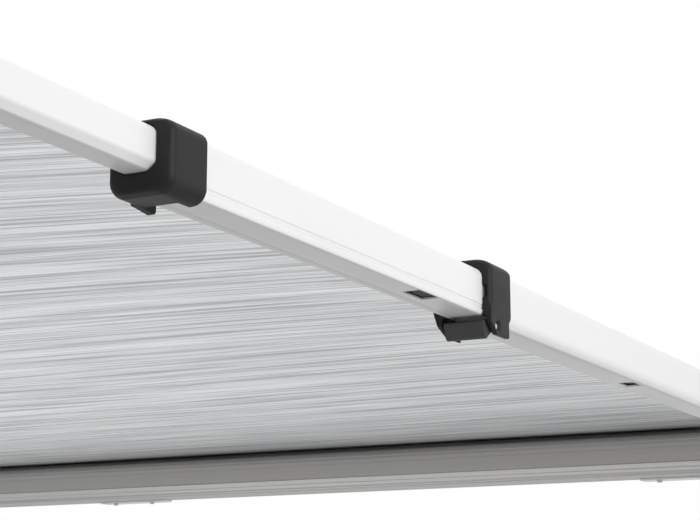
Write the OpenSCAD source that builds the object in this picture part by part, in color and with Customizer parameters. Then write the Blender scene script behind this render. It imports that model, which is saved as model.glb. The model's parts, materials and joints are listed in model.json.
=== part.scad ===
// Roll out awning, shown pulled out and locked.
// X runs along the wall, +Y points away from it, +Z is up.
// The origin is the middle of the wall plane behind the case.
// "right" is the -X end, as seen by someone who stands in front of the case and faces the wall.

/* [Case] */
// Width of the awning along the wall
awning_w = 3000; // [2600:50:4000]
// Depth of the case from back to front
case_d = 96; // [92:1:130]
// Height of the case
case_h = 134; // [130:1:160]
// Wall thickness of the case extrusion
case_t = 2.2; // [1.8:0.1:3]
// Gap between the wall plane and the back of the case, where the bracket screws lie
back_gap = 8; // [6:0.5:14]
// Thickness of a case end plate
end_t = 10; // [8:0.5:14]
// Height of the mouth that the fabric leaves through
mouth_h = 22; // [16:0.5:26]
// Height of the rounding below the mouth
brow_h = 18; // [10:1:22]
// Depth of that rounding
brow_d = 7; // [3:0.5:9]

/* [Fabric and roller] */
// Height of the fabric above the origin
fabric_z = 16; // [12:0.5:18]
// Thickness of the fabric
fabric_t = 0.5; // [0.4:0.05:0.8]
// Distance from the end of the awning to the side edge of the fabric
fabric_inset = 80; // [70:1:120]
// Outer radius of the roller tube
roller_r = 34.5; // [32:0.5:36]
// Wall thickness of the roller tube
roller_t = 1.6; // [1.2:0.1:2.4]
// Thickness of the turns of fabric that stay on the roller
roll_t = 1.1; // [0.8:0.1:2]
// Radius of the keder rod sewn into the fabric
keder_r = 3.2; // [2.8:0.1:3.6]
// Radius of the fixed shaft that carries the roller and its spring
shaft_r = 6; // [5:0.25:8]
// Length of the fixed shaft inside the roller
shaft_len = 700; // [500:10:1000]
// Outer radius of the torsion spring
spring_r = 14; // [12:0.5:18]

/* [Rafter profiles] */
// Distance from the end of the awning to the middle of a rafter
rafter_inset = 60; // [52:1:80]
// Length of the outer profile
outer_len = 1350; // [1200:1:1600]
// Length of the middle profile
mid_len = 1090; // [900:1:1150]
// Length of the inner profile
inner_len = 807; // [640:1:900]
// Distance from the end of the outer profile to the end of the middle profile
mid_show = 577; // [570:1:700]
// Distance from the end of the middle profile to the end of the inner profile
inner_show = 340; // [335:1:420]
// Width of the outer profile
outer_w = 50.5; // [50:0.5:56]
// Width of the middle profile
mid_w = 40.2; // [38:0.2:42]
// Width of the inner profile
inner_w = 27.4; // [26:0.2:30]
// Height of the outer profile
outer_h = 56.7; // [55:0.1:58]
// Height of the middle profile
mid_h = 49.3; // [48.5:0.1:51]
// Height of the inner profile
inner_h = 34.6; // [33:0.1:36]
// Wall thickness of the outer profile
outer_t = 1.8; // [1.5:0.1:2]
// Wall thickness of the middle profile
mid_t = 1.6; // [1.4:0.1:1.8]
// Wall thickness of the inner profile
inner_t = 1.5; // [1.3:0.1:1.8]
// Gap between the crest of one profile and the roof of the profile around it
crest_gap = 1.2; // [1:0.1:1.6]

/* [Rafter fittings] */
// Length of the collar at the mouth of the outer profile
mouth_collar_len = 52; // [48:1:70]
// Length of the collar at the step between the middle and the inner profile
step_collar_len = 47; // [42:1:60]
// Wall of both collars round their profile
collar_t = 4; // [3:0.25:4.4]
// Thickness of the front wall of the mouth collar
mouth_front_t = 25; // [20:0.5:30]
// Thickness of the front wall of the step collar
step_front_t = 10; // [8:0.5:14]
// Running gap round a profile in the mouth of a collar
collar_gap = 0.6; // [0.4:0.05:0.9]
// Radius of the hollow pin of the lock lever
lever_pin_r = 4; // [3.5:0.1:4.4]
// Bore radius of that pin
lever_bore_r = 3; // [2:0.1:3.2]
// Length of the slot in the floor of the middle profile
slot_len = 43; // [30:1:50]
// Width of that slot
slot_w = 17; // [12:0.5:20]
// Length of the window in the floor of the outer profile
window_len = 36; // [20:1:40]
// Width of that window
window_w = 18.5; // [12:0.5:20]
// Press of the slide catch
catch_press = 3; // [2:0.5:4]
// Radius of the pin that each rafter swings on
rafter_pin_r = 5; // [4:0.25:6]
// Distance from the case front to that pin
rafter_pin_out = 26; // [24:0.5:34]
// Clearance between parts that are fixed together
seat_gap = 0.2; // [0.1:0.05:0.3]

/* [Lead rail and legs] */
// Depth of the lead rail
lead_d = 60; // [56:1:72]
// Height of the lead rail
lead_h = 68; // [64:1:80]
// Wall thickness of the lead rail
lead_t = 2; // [1.6:0.1:2.6]
// Height of the awning fabric above the ground
stand_h = 2200; // [2000:10:2400]
// Width of the outer leg tube
leg_w = 28; // [26:0.5:30]
// Depth of the outer leg tube
leg_d = 20; // [19:0.5:21]
// Wall thickness of the leg tubes
leg_t = 1.5; // [1.2:0.1:1.6]
// Length of the outer leg tube
leg_outer_len = 1150; // [950:10:1250]
// Length of the inner leg tube that stays inside the outer tube
leg_overlap = 110; // [80:5:200]
// Radius of the pin that each leg swings on
leg_pin_r = 4; // [3:0.25:5]
// Radius of the peg hole in a foot
peg_r = 4.5; // [3:0.5:6]

/* [Wall brackets] */
// Width of a wall bracket
bracket_w = 160; // [140:5:220]
// Thickness of the bracket plate
bracket_t = 3; // [2.5:0.25:4]
// Hole spacing of a wall bracket along the wall
bracket_hole_x = 120; // [80:5:180]
// Hole spacing of a wall bracket up the wall
bracket_hole_z = 60; // [40:5:80]
// Radius of the wall bracket holes
bracket_hole_r = 3.25; // [2.5:0.25:4.5]
// Distance from the end of the awning to the middle of an end bracket
bracket_inset = 300; // [200:10:600]

/* [Hidden] */

// Colours of the finishes
white = "#f2f2f0";
black = "#2c2d2e";
anodised = "#8d8c88";
bare = "#c8cacc";
steel = "#9aa0a4";
cloth = "#c6c9cc";

// Steps on a rounded corner of a profile, and on a full circle
corner_steps = 10;
fine = 64;
// Overcut that keeps cuts open, and the joint gap for parts that only touch
eps = 1;
touch = 0.3;

// Thickness of a pin head and its gap to the cheek beside it
pin_head_t = 2.5;
head_gap = 0.1;

// Places along Y
case_y0 = back_gap;
case_y1 = back_gap + case_d;
pin_y = case_y1 + rafter_pin_out;
outer_y0 = pin_y + 32;
outer_y1 = outer_y0 + outer_len;
mid_y1 = outer_y1 + mid_show;
mid_y0 = mid_y1 - mid_len;
inner_y1 = mid_y1 + inner_show;
inner_y0 = inner_y1 - inner_len;
hook_t = 10.5;
lead_y0 = inner_y1 + hook_t + 0.5;
lead_y1 = lead_y0 + lead_d;

// Heights
crest_z = fabric_z - 4.7;
outer_z1 = crest_z;
outer_z0 = outer_z1 - outer_h;
mid_z1 = outer_z1 - outer_t - crest_gap;
mid_z0 = mid_z1 - mid_h;
inner_z1 = mid_z1 - mid_t - crest_gap;
inner_z0 = inner_z1 - inner_h;
pin_z = (outer_z0 + outer_z1) / 2;
mouth_z0 = fabric_z - 12;
roll_r = roller_r + roll_t;
roller_z = fabric_z - fabric_t / 2 - 0.15 - roll_r;
roller_y = case_y0 + case_d / 2;

// Half widths along X
case_x = awning_w / 2 - end_t;
fabric_x = awning_w / 2 - fabric_inset;
rafter_x = awning_w / 2 - rafter_inset;
bracket_pitch = awning_w / 2 - bracket_inset;

// Fittings
collar_top = fabric_z - 2.2;
fit = seat_gap;
lever_barrel_r = lever_pin_r + 1.6;
lever_y = outer_y1 + lever_barrel_r + 1.4;
lever_roof = mid_z0 - collar_gap - 2.4;
lever_z = lever_roof - 0.4 - lever_barrel_r;
lever_room = 18;

// Points along an elliptic arc in the profile plane
function arc(c, r, a0, a1, n = corner_steps) =
  [for (i = [0:n]) let (a = a0 + (a1 - a0) * i / n) [c[0] + r[0] * cos(a), c[1] + r[1] * sin(a)]];
// A half outline, given from the bottom up, and its mirror image
function whole(half) = concat(half, [for (i = [len(half) - 1:-1:0]) [-half[i][0], half[i][1]]]);
// Half outline of a closed profile: half width, floor, crest, floor corner and crest corner radii
function shell_half(hw, z0, z1, rf, rc) = concat(
  arc([hw - rf[0], z0 + rf[1]], rf, -90, 0), arc([hw - rc[0], z1 - rc[1]], rc, 0, 90));

// The three profiles, grown outwards by g
outer_rf = [12.5, 12.5];
outer_rc = [20, 14];
mid_rf = [3.5, 5.7];
mid_rc = [14, 11];
inner_facet = [[-9.6, 0], [-7.6, 0.4], [-1.2, 5.2], [-0.3, 6.4], [0, 7.8]];
inner_rc = [12, 8];
function grown(r, g) = [max(r[0] + g, 0.4), max(r[1] + g, 0.4)];
module grown_outline(w, z0, z1, rf, rc, g) {
  polygon(whole(shell_half(w / 2 + g, z0 - g, z1 + g, grown(rf, g), grown(rc, g))));
}
module outer_outline(g = 0) { grown_outline(outer_w, outer_z0, outer_z1, outer_rf, outer_rc, g); }
module mid_outline(g = 0) { grown_outline(mid_w, mid_z0, mid_z1, mid_rf, mid_rc, g); }
module inner_outline(g = 0) {
  hw = inner_w / 2 + g;
  rc = grown(inner_rc, g);
  polygon(whole(concat([for (p = inner_facet) [hw + p[0], inner_z0 - g + p[1]]],
    arc([hw - rc[0], inner_z1 + g - rc[1]], rc, 0, 90))));
}

// Extrudes a drawing of X and Z from y0 to y1
module along_y(y0, y1) {
  translate([0, y1, 0]) rotate([90, 0, 0]) linear_extrude(y1 - y0) children();
}
// Extrudes a drawing of Y and Z from x0 to x1
module along_x(x0, x1) {
  translate([x0, 0, 0]) rotate([90, 0, 90]) linear_extrude(x1 - x0) children();
}
// A box given by its two corners
module block(a, b) {
  translate(a) cube([b[0] - a[0], b[1] - a[1], b[2] - a[2]]);
}
// A round rod along X and along Y
module rod_x(x0, x1, y, z, r) {
  translate([x0, y, z]) rotate([0, 90, 0]) cylinder(h = x1 - x0, r = r, $fn = fine);
}
module rod_y(y0, y1, x, z, r) {
  translate([x, y0, z]) rotate([-90, 0, 0]) cylinder(h = y1 - y0, r = r, $fn = fine);
}
// A rectangle with round corners, centred
module round_rect(w, h, r) {
  polygon(whole(shell_half(w / 2, -h / 2, h / 2, [r, r], [r, r])));
}

// Case: a C shaped extrusion with a hood over the fabric and a ribbed front wall below it
hood_z = mouth_z0 + mouth_h;
lip_z = -case_h / 2 + 21;
lip_back = 4;
lip_r = 4;
hood_d = 44;
hood_from = 5;
back_r = 6;
// Outline of the case, drawn in Y and Z, shrunk by g and with a brow d deep under the mouth
module case_outline(g = 0, d = brow_d) {
  z0 = -case_h / 2 + g;
  z1 = case_h / 2 - g;
  y0 = case_y0 + g;
  y1 = case_y1 - g;
  r = back_r - g;
  polygon(concat(
    arc([y0 + r, z0 + r], [r, r], 180, 270),
    arc([y1 - lip_back - lip_r, z0 + lip_r], [lip_r, lip_r], 270, 360),
    [[y1, lip_z]],
    d > 0 ? arc([y1 - d, mouth_z0 - brow_h], [d, brow_h], 0, 90) : [],
    [[y1 - d, hood_z], [y1, hood_z + touch]],
    arc([y1 - hood_d, hood_z], [hood_d, z1 - hood_z], hood_from, 90),
    arc([y0 + r, z1 - r], [r, r], 90, 180)));
}
// Centres of the four screw channels that the end plates are screwed into
screw_r = 2.1;
channel_r = 4.6;
// The channels are sunk a little into the wall
channel_in = case_t + channel_r - 1;
channels = [
  [case_y0 + channel_in, -case_h / 2 + channel_in],
  [case_y1 - lip_back - channel_in - 1, -case_h / 2 + channel_in],
  [case_y0 + channel_in, case_h / 2 - channel_in],
  [case_y1 - hood_d, case_h / 2 - channel_in]
];
bead_r = 2;
rib_d = 0.9;
rib_ws = [1.6, 2.2, 1.2];
rib_zs = [mouth_z0 - 12, mouth_z0 - 23, lip_z];
module case_shell() {
  color(anodised) along_x(-case_x, case_x) difference() {
    union() {
      difference() {
        case_outline();
        case_outline(case_t);
      }
      for (c = channels) translate(c) circle(r = channel_r, $fn = 32);
      translate([case_y1 - brow_d, mouth_z0 - bead_r]) circle(r = bead_r, $fn = 24);
    }
    for (c = channels) translate(c) circle(r = screw_r, $fn = 24);
    translate([case_y1 - brow_d - case_t - eps, mouth_z0]) square([brow_d + case_t + 2 * eps, mouth_h]);
    for (i = [0:len(rib_zs) - 1])
      translate([case_y1 - rib_d, rib_zs[i] - rib_ws[i] / 2]) square([rib_d + eps, rib_ws[i]]);
  }
}
// Light trim strip over the lower lip of the case
strip_t = 1.4;
strip_gap = 0.15;
strip_top = lip_z - 0.8;
strip_low = lip_z - 15;
strip_slope = lip_back / (case_h / 2 + lip_z - lip_r);
groove_z0 = lip_z - 8.6;
groove_d = 0.6;
groove_w = 1;
module case_strip() {
  function face(z, out) = [case_y1 + (z - lip_z) * strip_slope + out, z];
  color(bare) along_x(-case_x, case_x) polygon([
    face(strip_top, strip_gap), face(strip_top, strip_t), face(groove_z0 + groove_w, strip_t),
    face(groove_z0, strip_t - groove_d), face(groove_z0 - groove_w, strip_t),
    face(strip_low, strip_t), face(strip_low, strip_gap)]);
}

// End plates close the case and carry the roller
boss_r = 17;
boss_len = 14;
head_sink = 3;
head_r = 2;
screw_len = 24;
slip = 0.05;
turn_gap = 0.08;
module case_end() {
  x = awning_w / 2;
  difference() {
    union() {
      along_x(-x, -case_x - touch) case_outline(0, 0);
      rod_x(-case_x - end_t / 2, -case_x + boss_len, roller_y, roller_z, boss_r);
    }
    for (c = channels) rod_x(-x - eps, -case_x + eps, c[0], c[1], screw_r + 0.4);
    for (c = channels) rod_x(-x - eps, -x + head_sink, c[0], c[1], screw_r + head_r + 0.4);
  }
}
module case_end_right() {
  color(black) difference() {
    case_end();
    rod_x(-case_x - end_t / 2, -case_x + boss_len + eps, roller_y, roller_z, shaft_r + slip);
  }
}
bush_r = 11;
bush_out = 0.8;
journal_r = 8;
module case_end_left() {
  color(black) mirror([1, 0, 0]) difference() {
    case_end();
    rod_x(-case_x - end_t / 2, -case_x + boss_len + eps, roller_y, roller_z, bush_r + fit);
  }
}
module bearing_left() {
  color(bare) mirror([1, 0, 0]) difference() {
    rod_x(-case_x - end_t / 2, -case_x + boss_len + bush_out, roller_y, roller_z, bush_r);
    rod_x(-case_x - end_t / 2 - eps, -case_x + boss_len + 2 * eps, roller_y, roller_z, journal_r + slip);
  }
}
module end_screws() {
  color(steel) for (s = [0, 1]) mirror([s, 0, 0]) for (c = channels) {
    x = -awning_w / 2 + head_sink;
    rod_x(x - head_sink + 2 * fit, x - head_gap, c[0], c[1], screw_r + head_r);
    rod_x(x - 2 * head_gap, x + screw_len - head_sink, c[0], c[1], screw_r - head_gap);
  }
}

// Wall brackets: the case hangs on the upper hook and is clamped by screws through the lower arm
arm_t = 3;
hook_d = 22;
arm_d = 26;
rest_z = 26;
clamp_x = 46;
clamp_r = 2.5;
clamp_at = back_gap + 16;
nut_r = 5;
nut_t = 4;
module wall_bracket() {
  z = case_h / 2 + touch;
  color(bare) difference() {
    union() {
      along_x(-bracket_w / 2, bracket_w / 2) {
        translate([0, -z - arm_t]) square([bracket_t, 2 * z + 2 * arm_t]);
        translate([0, z]) square([back_gap + hook_d, arm_t]);
        translate([0, -z - arm_t]) square([back_gap + arm_d, arm_t]);
        translate([0, rest_z]) square([back_gap - touch, arm_t]);
        translate([0, -rest_z - arm_t]) square([back_gap - touch, arm_t]);
      }
    }
    for (x = [-1, 1], w = [-1, 1])
      rod_y(-eps, bracket_t + eps, x * bracket_hole_x / 2, w * bracket_hole_z / 2, bracket_hole_r);
    for (x = [-clamp_x, clamp_x]) translate([x, clamp_at, -z - arm_t - eps])
      cylinder(h = arm_t + 2 * eps, r = clamp_r + fit, $fn = fine);
  }
}
module wall_bracket_right() { translate([-bracket_pitch, 0, 0]) wall_bracket(); }
module wall_bracket_middle() { wall_bracket(); }
module wall_bracket_left() { translate([bracket_pitch, 0, 0]) wall_bracket(); }
module clamp_screws() {
  z = -case_h / 2 - touch - arm_t;
  color(steel) for (b = [-1, 0, 1], x = [-clamp_x, clamp_x])
    translate([b * bracket_pitch + x, clamp_at, z]) {
      translate([0, 0, -nut_t]) cylinder(h = nut_t - head_gap, r = nut_r, $fn = 6);
      translate([0, 0, -2 * head_gap]) cylinder(h = arm_t + touch, r = clamp_r, $fn = fine);
    }
}

// Roller: a tube with a keder groove, two plugs, and a spring on the fixed shaft
groove_t = 1.6;
groove_z = roller_r - keder_r - groove_t - fit;
groove_gap = 2.4;
rim_len = 3;
module at_roller() { translate([0, roller_y, roller_z]) children(); }
roller_x = case_x - boss_len - rim_len - eps;
module roller_tube() {
  color(bare) at_roller() along_x(-roller_x, roller_x) difference() {
    union() {
      difference() {
        circle(r = roller_r, $fn = 96);
        circle(r = roller_r - roller_t, $fn = 96);
      }
      intersection() {
        circle(r = roller_r, $fn = 96);
        translate([0, groove_z]) circle(r = keder_r + groove_t, $fn = 32);
      }
    }
    translate([0, groove_z]) circle(r = keder_r + touch, $fn = 32);
    translate([-groove_gap / 2, groove_z]) square([groove_gap, roller_r]);
  }
}
plug_len = 40;
key_w = 2 * (keder_r + 3);
module roller_plug_body() {
  at_roller() difference() {
    union() {
      rod_x(-roller_x + fit, -roller_x + plug_len, 0, 0, roller_r - roller_t - fit);
      rod_x(-roller_x - rim_len, -roller_x - fit, 0, 0, roller_r - roller_t);
      rod_x(-roller_x - eps, -roller_x + eps, 0, 0, roller_r - roller_t - fit);
    }
    block([-roller_x - rim_len - eps, -key_w / 2, groove_z - key_w / 2],
      [-roller_x + plug_len + eps, key_w / 2, roller_r]);
  }
}
module roller_plug_right() {
  color(black) difference() {
    roller_plug_body();
    at_roller() rod_x(-roller_x - rim_len - eps, -roller_x + plug_len + eps, 0, 0, shaft_r + turn_gap);
  }
}
module roller_plug_left() {
  color(black) mirror([1, 0, 0]) union() {
    roller_plug_body();
    at_roller() rod_x(-case_x - end_t / 2 + touch, -roller_x, 0, 0, journal_r);
  }
}
module spring_shaft() {
  color(steel) at_roller() rod_x(-case_x - end_t / 2 + head_gap, -roller_x + shaft_len, 0, 0, shaft_r);
}
spring_end = 20;
spring_gap = 2;
module roller_spring() {
  color(steel) at_roller() difference() {
    rod_x(-roller_x + plug_len + fit, -roller_x + shaft_len - spring_end, 0, 0, spring_r);
    rod_x(-roller_x + plug_len - eps, -roller_x + shaft_len, 0, 0, shaft_r + spring_gap);
  }
}
module rolled_fabric() {
  color(cloth) at_roller() along_x(-fabric_x, fabric_x) difference() {
    circle(r = roll_r, $fn = 96);
    circle(r = roller_r + slip, $fn = 96);
  }
}

// Fabric: one stretched sheet from the roller to the keder groove of the lead rail
keder_y = lead_y0 + 8;
module fabric() {
  color(cloth) along_x(-fabric_x, fabric_x) {
    translate([roller_y + eps, fabric_z - fabric_t / 2]) square([keder_y - roller_y - eps, fabric_t]);
    translate([keder_y, fabric_z]) circle(r = keder_r, $fn = 32);
  }
}

// Lead rail: a hollow extrusion with a keder groove at the back and a channel below
lead_z1 = lead_h / 2;
lead_x = awning_w / 2 - 34;
channel_y = lead_y0 + 4;
channel_w = 12;
channel_h = 16;
keder_t = 2.2;
keder_gap = 2.4;
lead_nose = 22;
lead_r = 4;
module lead_outline(g = 0) {
  y0 = lead_y0 + g;
  r = lead_r - g;
  z = lead_z1 - g;
  rn = [lead_nose - g, z];
  polygon(concat(
    arc([y0 + r, -z + r], [r, r], 180, 270, 5),
    arc([lead_y1 - lead_nose, 0], rn, -90, 90, 24),
    arc([y0 + r, z - r], [r, r], 90, 180, 5)));
}
module lead_section() {
  difference() {
    union() {
      difference() {
        lead_outline();
        lead_outline(lead_t);
      }
      intersection() {
        lead_outline();
        union() {
          translate([keder_y, fabric_z]) circle(r = keder_r + keder_t, $fn = 32);
          translate([lead_y0, fabric_z - 3]) square([4, 6]);
          translate([channel_y - lead_t, -lead_z1]) square([channel_w + 2 * lead_t, channel_h + lead_t]);
          translate([channel_y + channel_w + lead_t - 1, -lead_z1 + channel_h]) square([lead_d, lead_t]);
        }
      }
    }
    translate([keder_y, fabric_z]) circle(r = keder_r + touch, $fn = 32);
    translate([lead_y0 - eps, fabric_z - keder_gap / 2]) square([keder_y - lead_y0 + eps, keder_gap]);
    translate([channel_y, -lead_z1 - eps]) square([channel_w, channel_h + eps]);
  }
}
module lead_rail() {
  color(anodised) along_x(-lead_x, lead_x) lead_section();
}

// End of the lead rail, with the fork that the leg swings in
leg_x = awning_w / 2 - 15;
leg_y = lead_y0 + 36;
leg_pin_z = -lead_z1 - 18;
fork_t = 4;
fork_gap = 0.6;
fork_r = 12;
// The fork reaches up into the end piece, past the curve of its front
fork_top_z = -lead_z1 + 13;
module lead_end() {
  fork = leg_d / 2 + fork_gap;
  difference() {
    union() {
      along_x(-awning_w / 2, -lead_x - fit) lead_outline();
      for (s = [-1, 1]) hull() {
        y = leg_y + s * (fork + fork_t / 2);
        rod_y(y - fork_t / 2, y + fork_t / 2, -leg_x, leg_pin_z, fork_r);
        block([-leg_x - fork_r, y - fork_t / 2, -lead_z1 - 1], [-leg_x + fork_r, y + fork_t / 2, fork_top_z]);
      }
    }
    rod_y(leg_y - fork - fork_t - eps, leg_y + fork + fork_t + eps, -leg_x, leg_pin_z, leg_pin_r + slip);
  }
}
module lead_end_right() { color(black) lead_end(); }
module lead_end_left() { color(black) mirror([1, 0, 0]) lead_end(); }
module leg_pins() {
  half = leg_d / 2 + fork_gap + fork_t;
  color(steel) for (s = [-1, 1]) {
    rod_y(leg_y - half, leg_y + half + pin_head_t, s * leg_x, leg_pin_z, leg_pin_r);
    rod_y(leg_y + half + head_gap, leg_y + half + pin_head_t, s * leg_x, leg_pin_z, leg_pin_r + head_r);
  }
}

// Rafter bracket on the case, with two cheeks round the swivel
cheek_in = 13.5;
cheek_t = 5;
cheek_r = 11;
cheek_h = 40;
base_w = 50;
base_t = 7;
base_hole_x = 38;
base_hole_z = lip_z + 9;
base_hole_r = 2.2;
module at_rafter() { translate([-rafter_x, 0, 0]) children(); }
module rafter_bracket() {
  at_rafter() difference() {
    union() {
      block([-base_w / 2, case_y1 + touch, lip_z + 2], [base_w / 2, case_y1 + base_t, mouth_z0 - 2]);
      for (s = [-1, 1]) hull() {
        x = s * (cheek_in + cheek_t / 2);
        rod_x(x - cheek_t / 2, x + cheek_t / 2, pin_y, pin_z, cheek_r);
        block([x - cheek_t / 2, case_y1 + base_t - 2, pin_z - cheek_h / 2],
          [x + cheek_t / 2, case_y1 + base_t, pin_z + cheek_h / 2]);
      }
    }
    rod_x(-cheek_in - cheek_t - eps, cheek_in + cheek_t + eps, pin_y, pin_z, rafter_pin_r + slip);
    for (s = [-1, 1])
      rod_y(case_y1, case_y1 + base_t + eps, s * base_hole_x / 2, base_hole_z, base_hole_r);
  }
}
module rafter_bracket_right() { color(black) rafter_bracket(); }
module rafter_bracket_left() { color(black) mirror([1, 0, 0]) rafter_bracket(); }
module rafter_pins() {
  half = cheek_in + cheek_t;
  color(steel) for (s = [0, 1]) mirror([s, 0, 0]) at_rafter() {
    rod_x(-half - pin_head_t, half, pin_y, pin_z, rafter_pin_r);
    rod_x(-half - pin_head_t, -half - head_gap, pin_y, pin_z, rafter_pin_r + head_r);
  }
}
// Swivel: a knuckle on the pin and a plug in the back end of the outer profile
swivel_r = 12;
swivel_gap = 0.4;
swivel_plug = 40;
plug_wall = 4;
module swivel() {
  x = cheek_in - swivel_gap;
  at_rafter() difference() {
    union() {
      rod_x(-x, x, pin_y, pin_z, swivel_r);
      block([-x, pin_y, pin_z - swivel_r + 1], [x, outer_y0 - 3, pin_z + swivel_r - 1]);
      along_y(outer_y0 - 4, outer_y0 - fit) outer_outline();
      along_y(outer_y0 - 1, outer_y0 + swivel_plug) difference() {
        outer_outline(-outer_t - fit);
        outer_outline(-outer_t - plug_wall);
      }
    }
    rod_x(-cheek_in - eps, cheek_in + eps, pin_y, pin_z, rafter_pin_r + turn_gap);
  }
}
module right_swivel() { color(black) swivel(); }
module left_swivel() { color(black) mirror([1, 0, 0]) swivel(); }

// Outer profile, with the window that the rear of the middle profile shows through
window_y = mid_y0 + 27;
window_x = -4.2;
module outer_profile() {
  at_rafter() difference() {
    along_y(outer_y0, outer_y1) difference() {
      outer_outline();
      outer_outline(-outer_t);
    }
    block([window_x - window_w / 2, window_y, outer_z0 - eps],
      [window_x + window_w / 2, window_y + window_len, outer_z0 + outer_t + eps]);
  }
}
module right_outer_profile() { color(white) outer_profile(); }
module left_outer_profile() { color(white) mirror([1, 0, 0]) outer_profile(); }

// Middle profile: flat sides over a groove and a round bead, and a slot in its floor
slot_y = inner_y0 + 13;
slot_x = -(mid_w - slot_w) / 2 + 2;
catch_x0 = -mid_w / 2 + mid_rf[0];
catch_x1 = slot_x + slot_w / 2 - 0.8;
bead_z = mid_z0 + 5.7;
side_groove_z = mid_z0 + 9.4;
floor_groove_x = 9;
// A groove in the side wall of a profile, drawn at height z
module vee(x, z, h, d) {
  s = sign(x);
  polygon([[x + s * 0.1, z + h / 2], [x - s * d, z + h / 6], [x + s * 0.1, z - h / 2]]);
}
module mid_profile() {
  at_rafter() difference() {
    along_y(mid_y0, mid_y1) difference() {
      mid_outline();
      mid_outline(-mid_t);
      for (s = [-1, 1]) {
        vee(s * mid_w / 2, side_groove_z, 4.4, 1);
        vee(s * mid_w / 2, bead_z, 1.8, 0.6);
      }
      translate([floor_groove_x, mid_z0]) polygon([[-0.7, 0], [0, 0.6], [0.7, 0]]);
    }
    block([slot_x - slot_w / 2, slot_y, mid_z0 - eps],
      [slot_x + slot_w / 2, slot_y + slot_len, mid_z0 + mid_t + eps]);
  }
}
module right_mid_profile() { color(white) mid_profile(); }
module left_mid_profile() { color(white) mirror([1, 0, 0]) mid_profile(); }

// Inner profile
module inner_profile() {
  at_rafter() along_y(inner_y0, inner_y1) difference() {
    inner_outline();
    inner_outline(-inner_t);
  }
}
module right_inner_profile() { color(white) inner_profile(); }
module left_inner_profile() { color(white) mirror([1, 0, 0]) inner_profile(); }

// Collar at the mouth of the outer profile, with two lugs for the lock lever
lug_t = 5.5;
lug_foot = lever_z - 8.5;
lug_top = lever_z + 20;
lug_flare = 4.5;
// Rounding of a collar's front edge: how far back each step stands and how far in
front_round = [[6, 0], [2.6, 0.9], [0.8, 2.4], [0, 4.2]];
// The part of the collar beside the fabric stands higher than the part below it
collar_rf = [15, 13];
collar_rc = [18, 11];
collar_floor = 3;
ring_r = 2.6;
ring_d = 1.2;
shoulder_z = fabric_z + 0.6;
shoulder_x = rafter_x - fabric_x - 2;
module mouth_collar() {
  y1 = outer_y1 + mouth_front_t;
  y0 = y1 - mouth_collar_len;
  hw = outer_w / 2 + collar_t + fit;
  z0 = outer_z0 - fit - collar_floor;
  lug_side = [[y1 - 1, lug_top], [y1 - 1, lug_foot + 10], [y1 - 15, lug_foot], [y0 + 5, lug_foot],
    [y0 + 5, z0 + 8], [y0 + 1, z0 + 11], [y0 + 1, lug_top]];
  at_rafter() difference() {
    union() {
      hull() for (k = front_round) along_y(y0, y1 - k[0])
        polygon(whole(shell_half(hw - k[1], z0 + k[1], collar_top - k[1] / 2, collar_rf, collar_rc)));
      intersection() {
        hull() for (k = front_round) along_y(y0, y1 - k[0])
          polygon(whole(shell_half(hw - k[1], z0 + k[1], shoulder_z - k[1] / 2, collar_rf, collar_rc)));
        block([-hw, y0, z0], [shoulder_x, y1, shoulder_z]);
      }
      along_x(-hw, -hw + lug_t) polygon(lug_side);
      intersection() {
        along_x(hw - lug_t, hw + lug_flare) polygon(lug_side);
        along_y(y0, y1) polygon([[hw - lug_t, lug_top], [hw, lug_top], [hw + lug_flare, lug_top - 4],
          [hw - lug_t + 2.4, lug_foot], [hw - lug_t, lug_foot]]);
      }
    }
    along_y(y0 - eps, outer_y1 + touch) outer_outline(fit);
    along_y(outer_y1, y1 + eps) mid_outline(collar_gap);
    block([-hw + lug_t, lever_y - lever_room, lug_foot - eps], [hw - lug_t, y1 + eps, lever_roof]);
    rod_x(-hw - eps, -hw + ring_d, lever_y, lever_z, lever_pin_r + ring_r);
    rod_x(-hw - eps, hw + lug_flare + eps, lever_y, lever_z, lever_pin_r + slip);
  }
}
module right_mouth_collar() { color(black) mouth_collar(); }
module left_mouth_collar() { color(black) mirror([1, 0, 0]) mouth_collar(); }
module lever_pin() {
  half = outer_w / 2 + collar_t + fit - ring_d - 1.8;
  at_rafter() difference() {
    rod_x(-half, half, lever_y, lever_z, lever_pin_r);
    rod_x(-half - eps, half + eps, lever_y, lever_z, lever_bore_r);
  }
}
module right_lever_pin() { color(steel) lever_pin(); }
module left_lever_pin() { color(steel) mirror([1, 0, 0]) lever_pin(); }

// Lock lever: a barrel on the pin and a flap that reaches in front of the collar
flap_w = 40;
module lock_lever() {
  barrel = outer_w / 2 + collar_t + fit - lug_t - 0.4;
  front = outer_y1 + mouth_front_t + 4;
  at_rafter() difference() {
    union() {
      rod_x(-barrel, barrel, lever_y, lever_z, lever_barrel_r);
      along_x(-flap_w / 2, flap_w / 2) polygon([
        [lever_y, lever_z + lever_barrel_r], [front - 2, lever_z + 3.4], [front, lever_z + 2],
        [front, lever_z - 10], [front - 3, lever_z - 14], [front - 8, lever_z - 14.5],
        [front - 11, lever_z - 10], [lever_y + 3, lever_z - 7], [lever_y - 4, lever_z - 4]]);
    }
    rod_x(-barrel - eps, barrel + eps, lever_y, lever_z, lever_pin_r + turn_gap);
  }
}
module right_lock_lever() { color(black) lock_lever(); }
module left_lock_lever() { color(black) mirror([1, 0, 0]) lock_lever(); }

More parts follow.
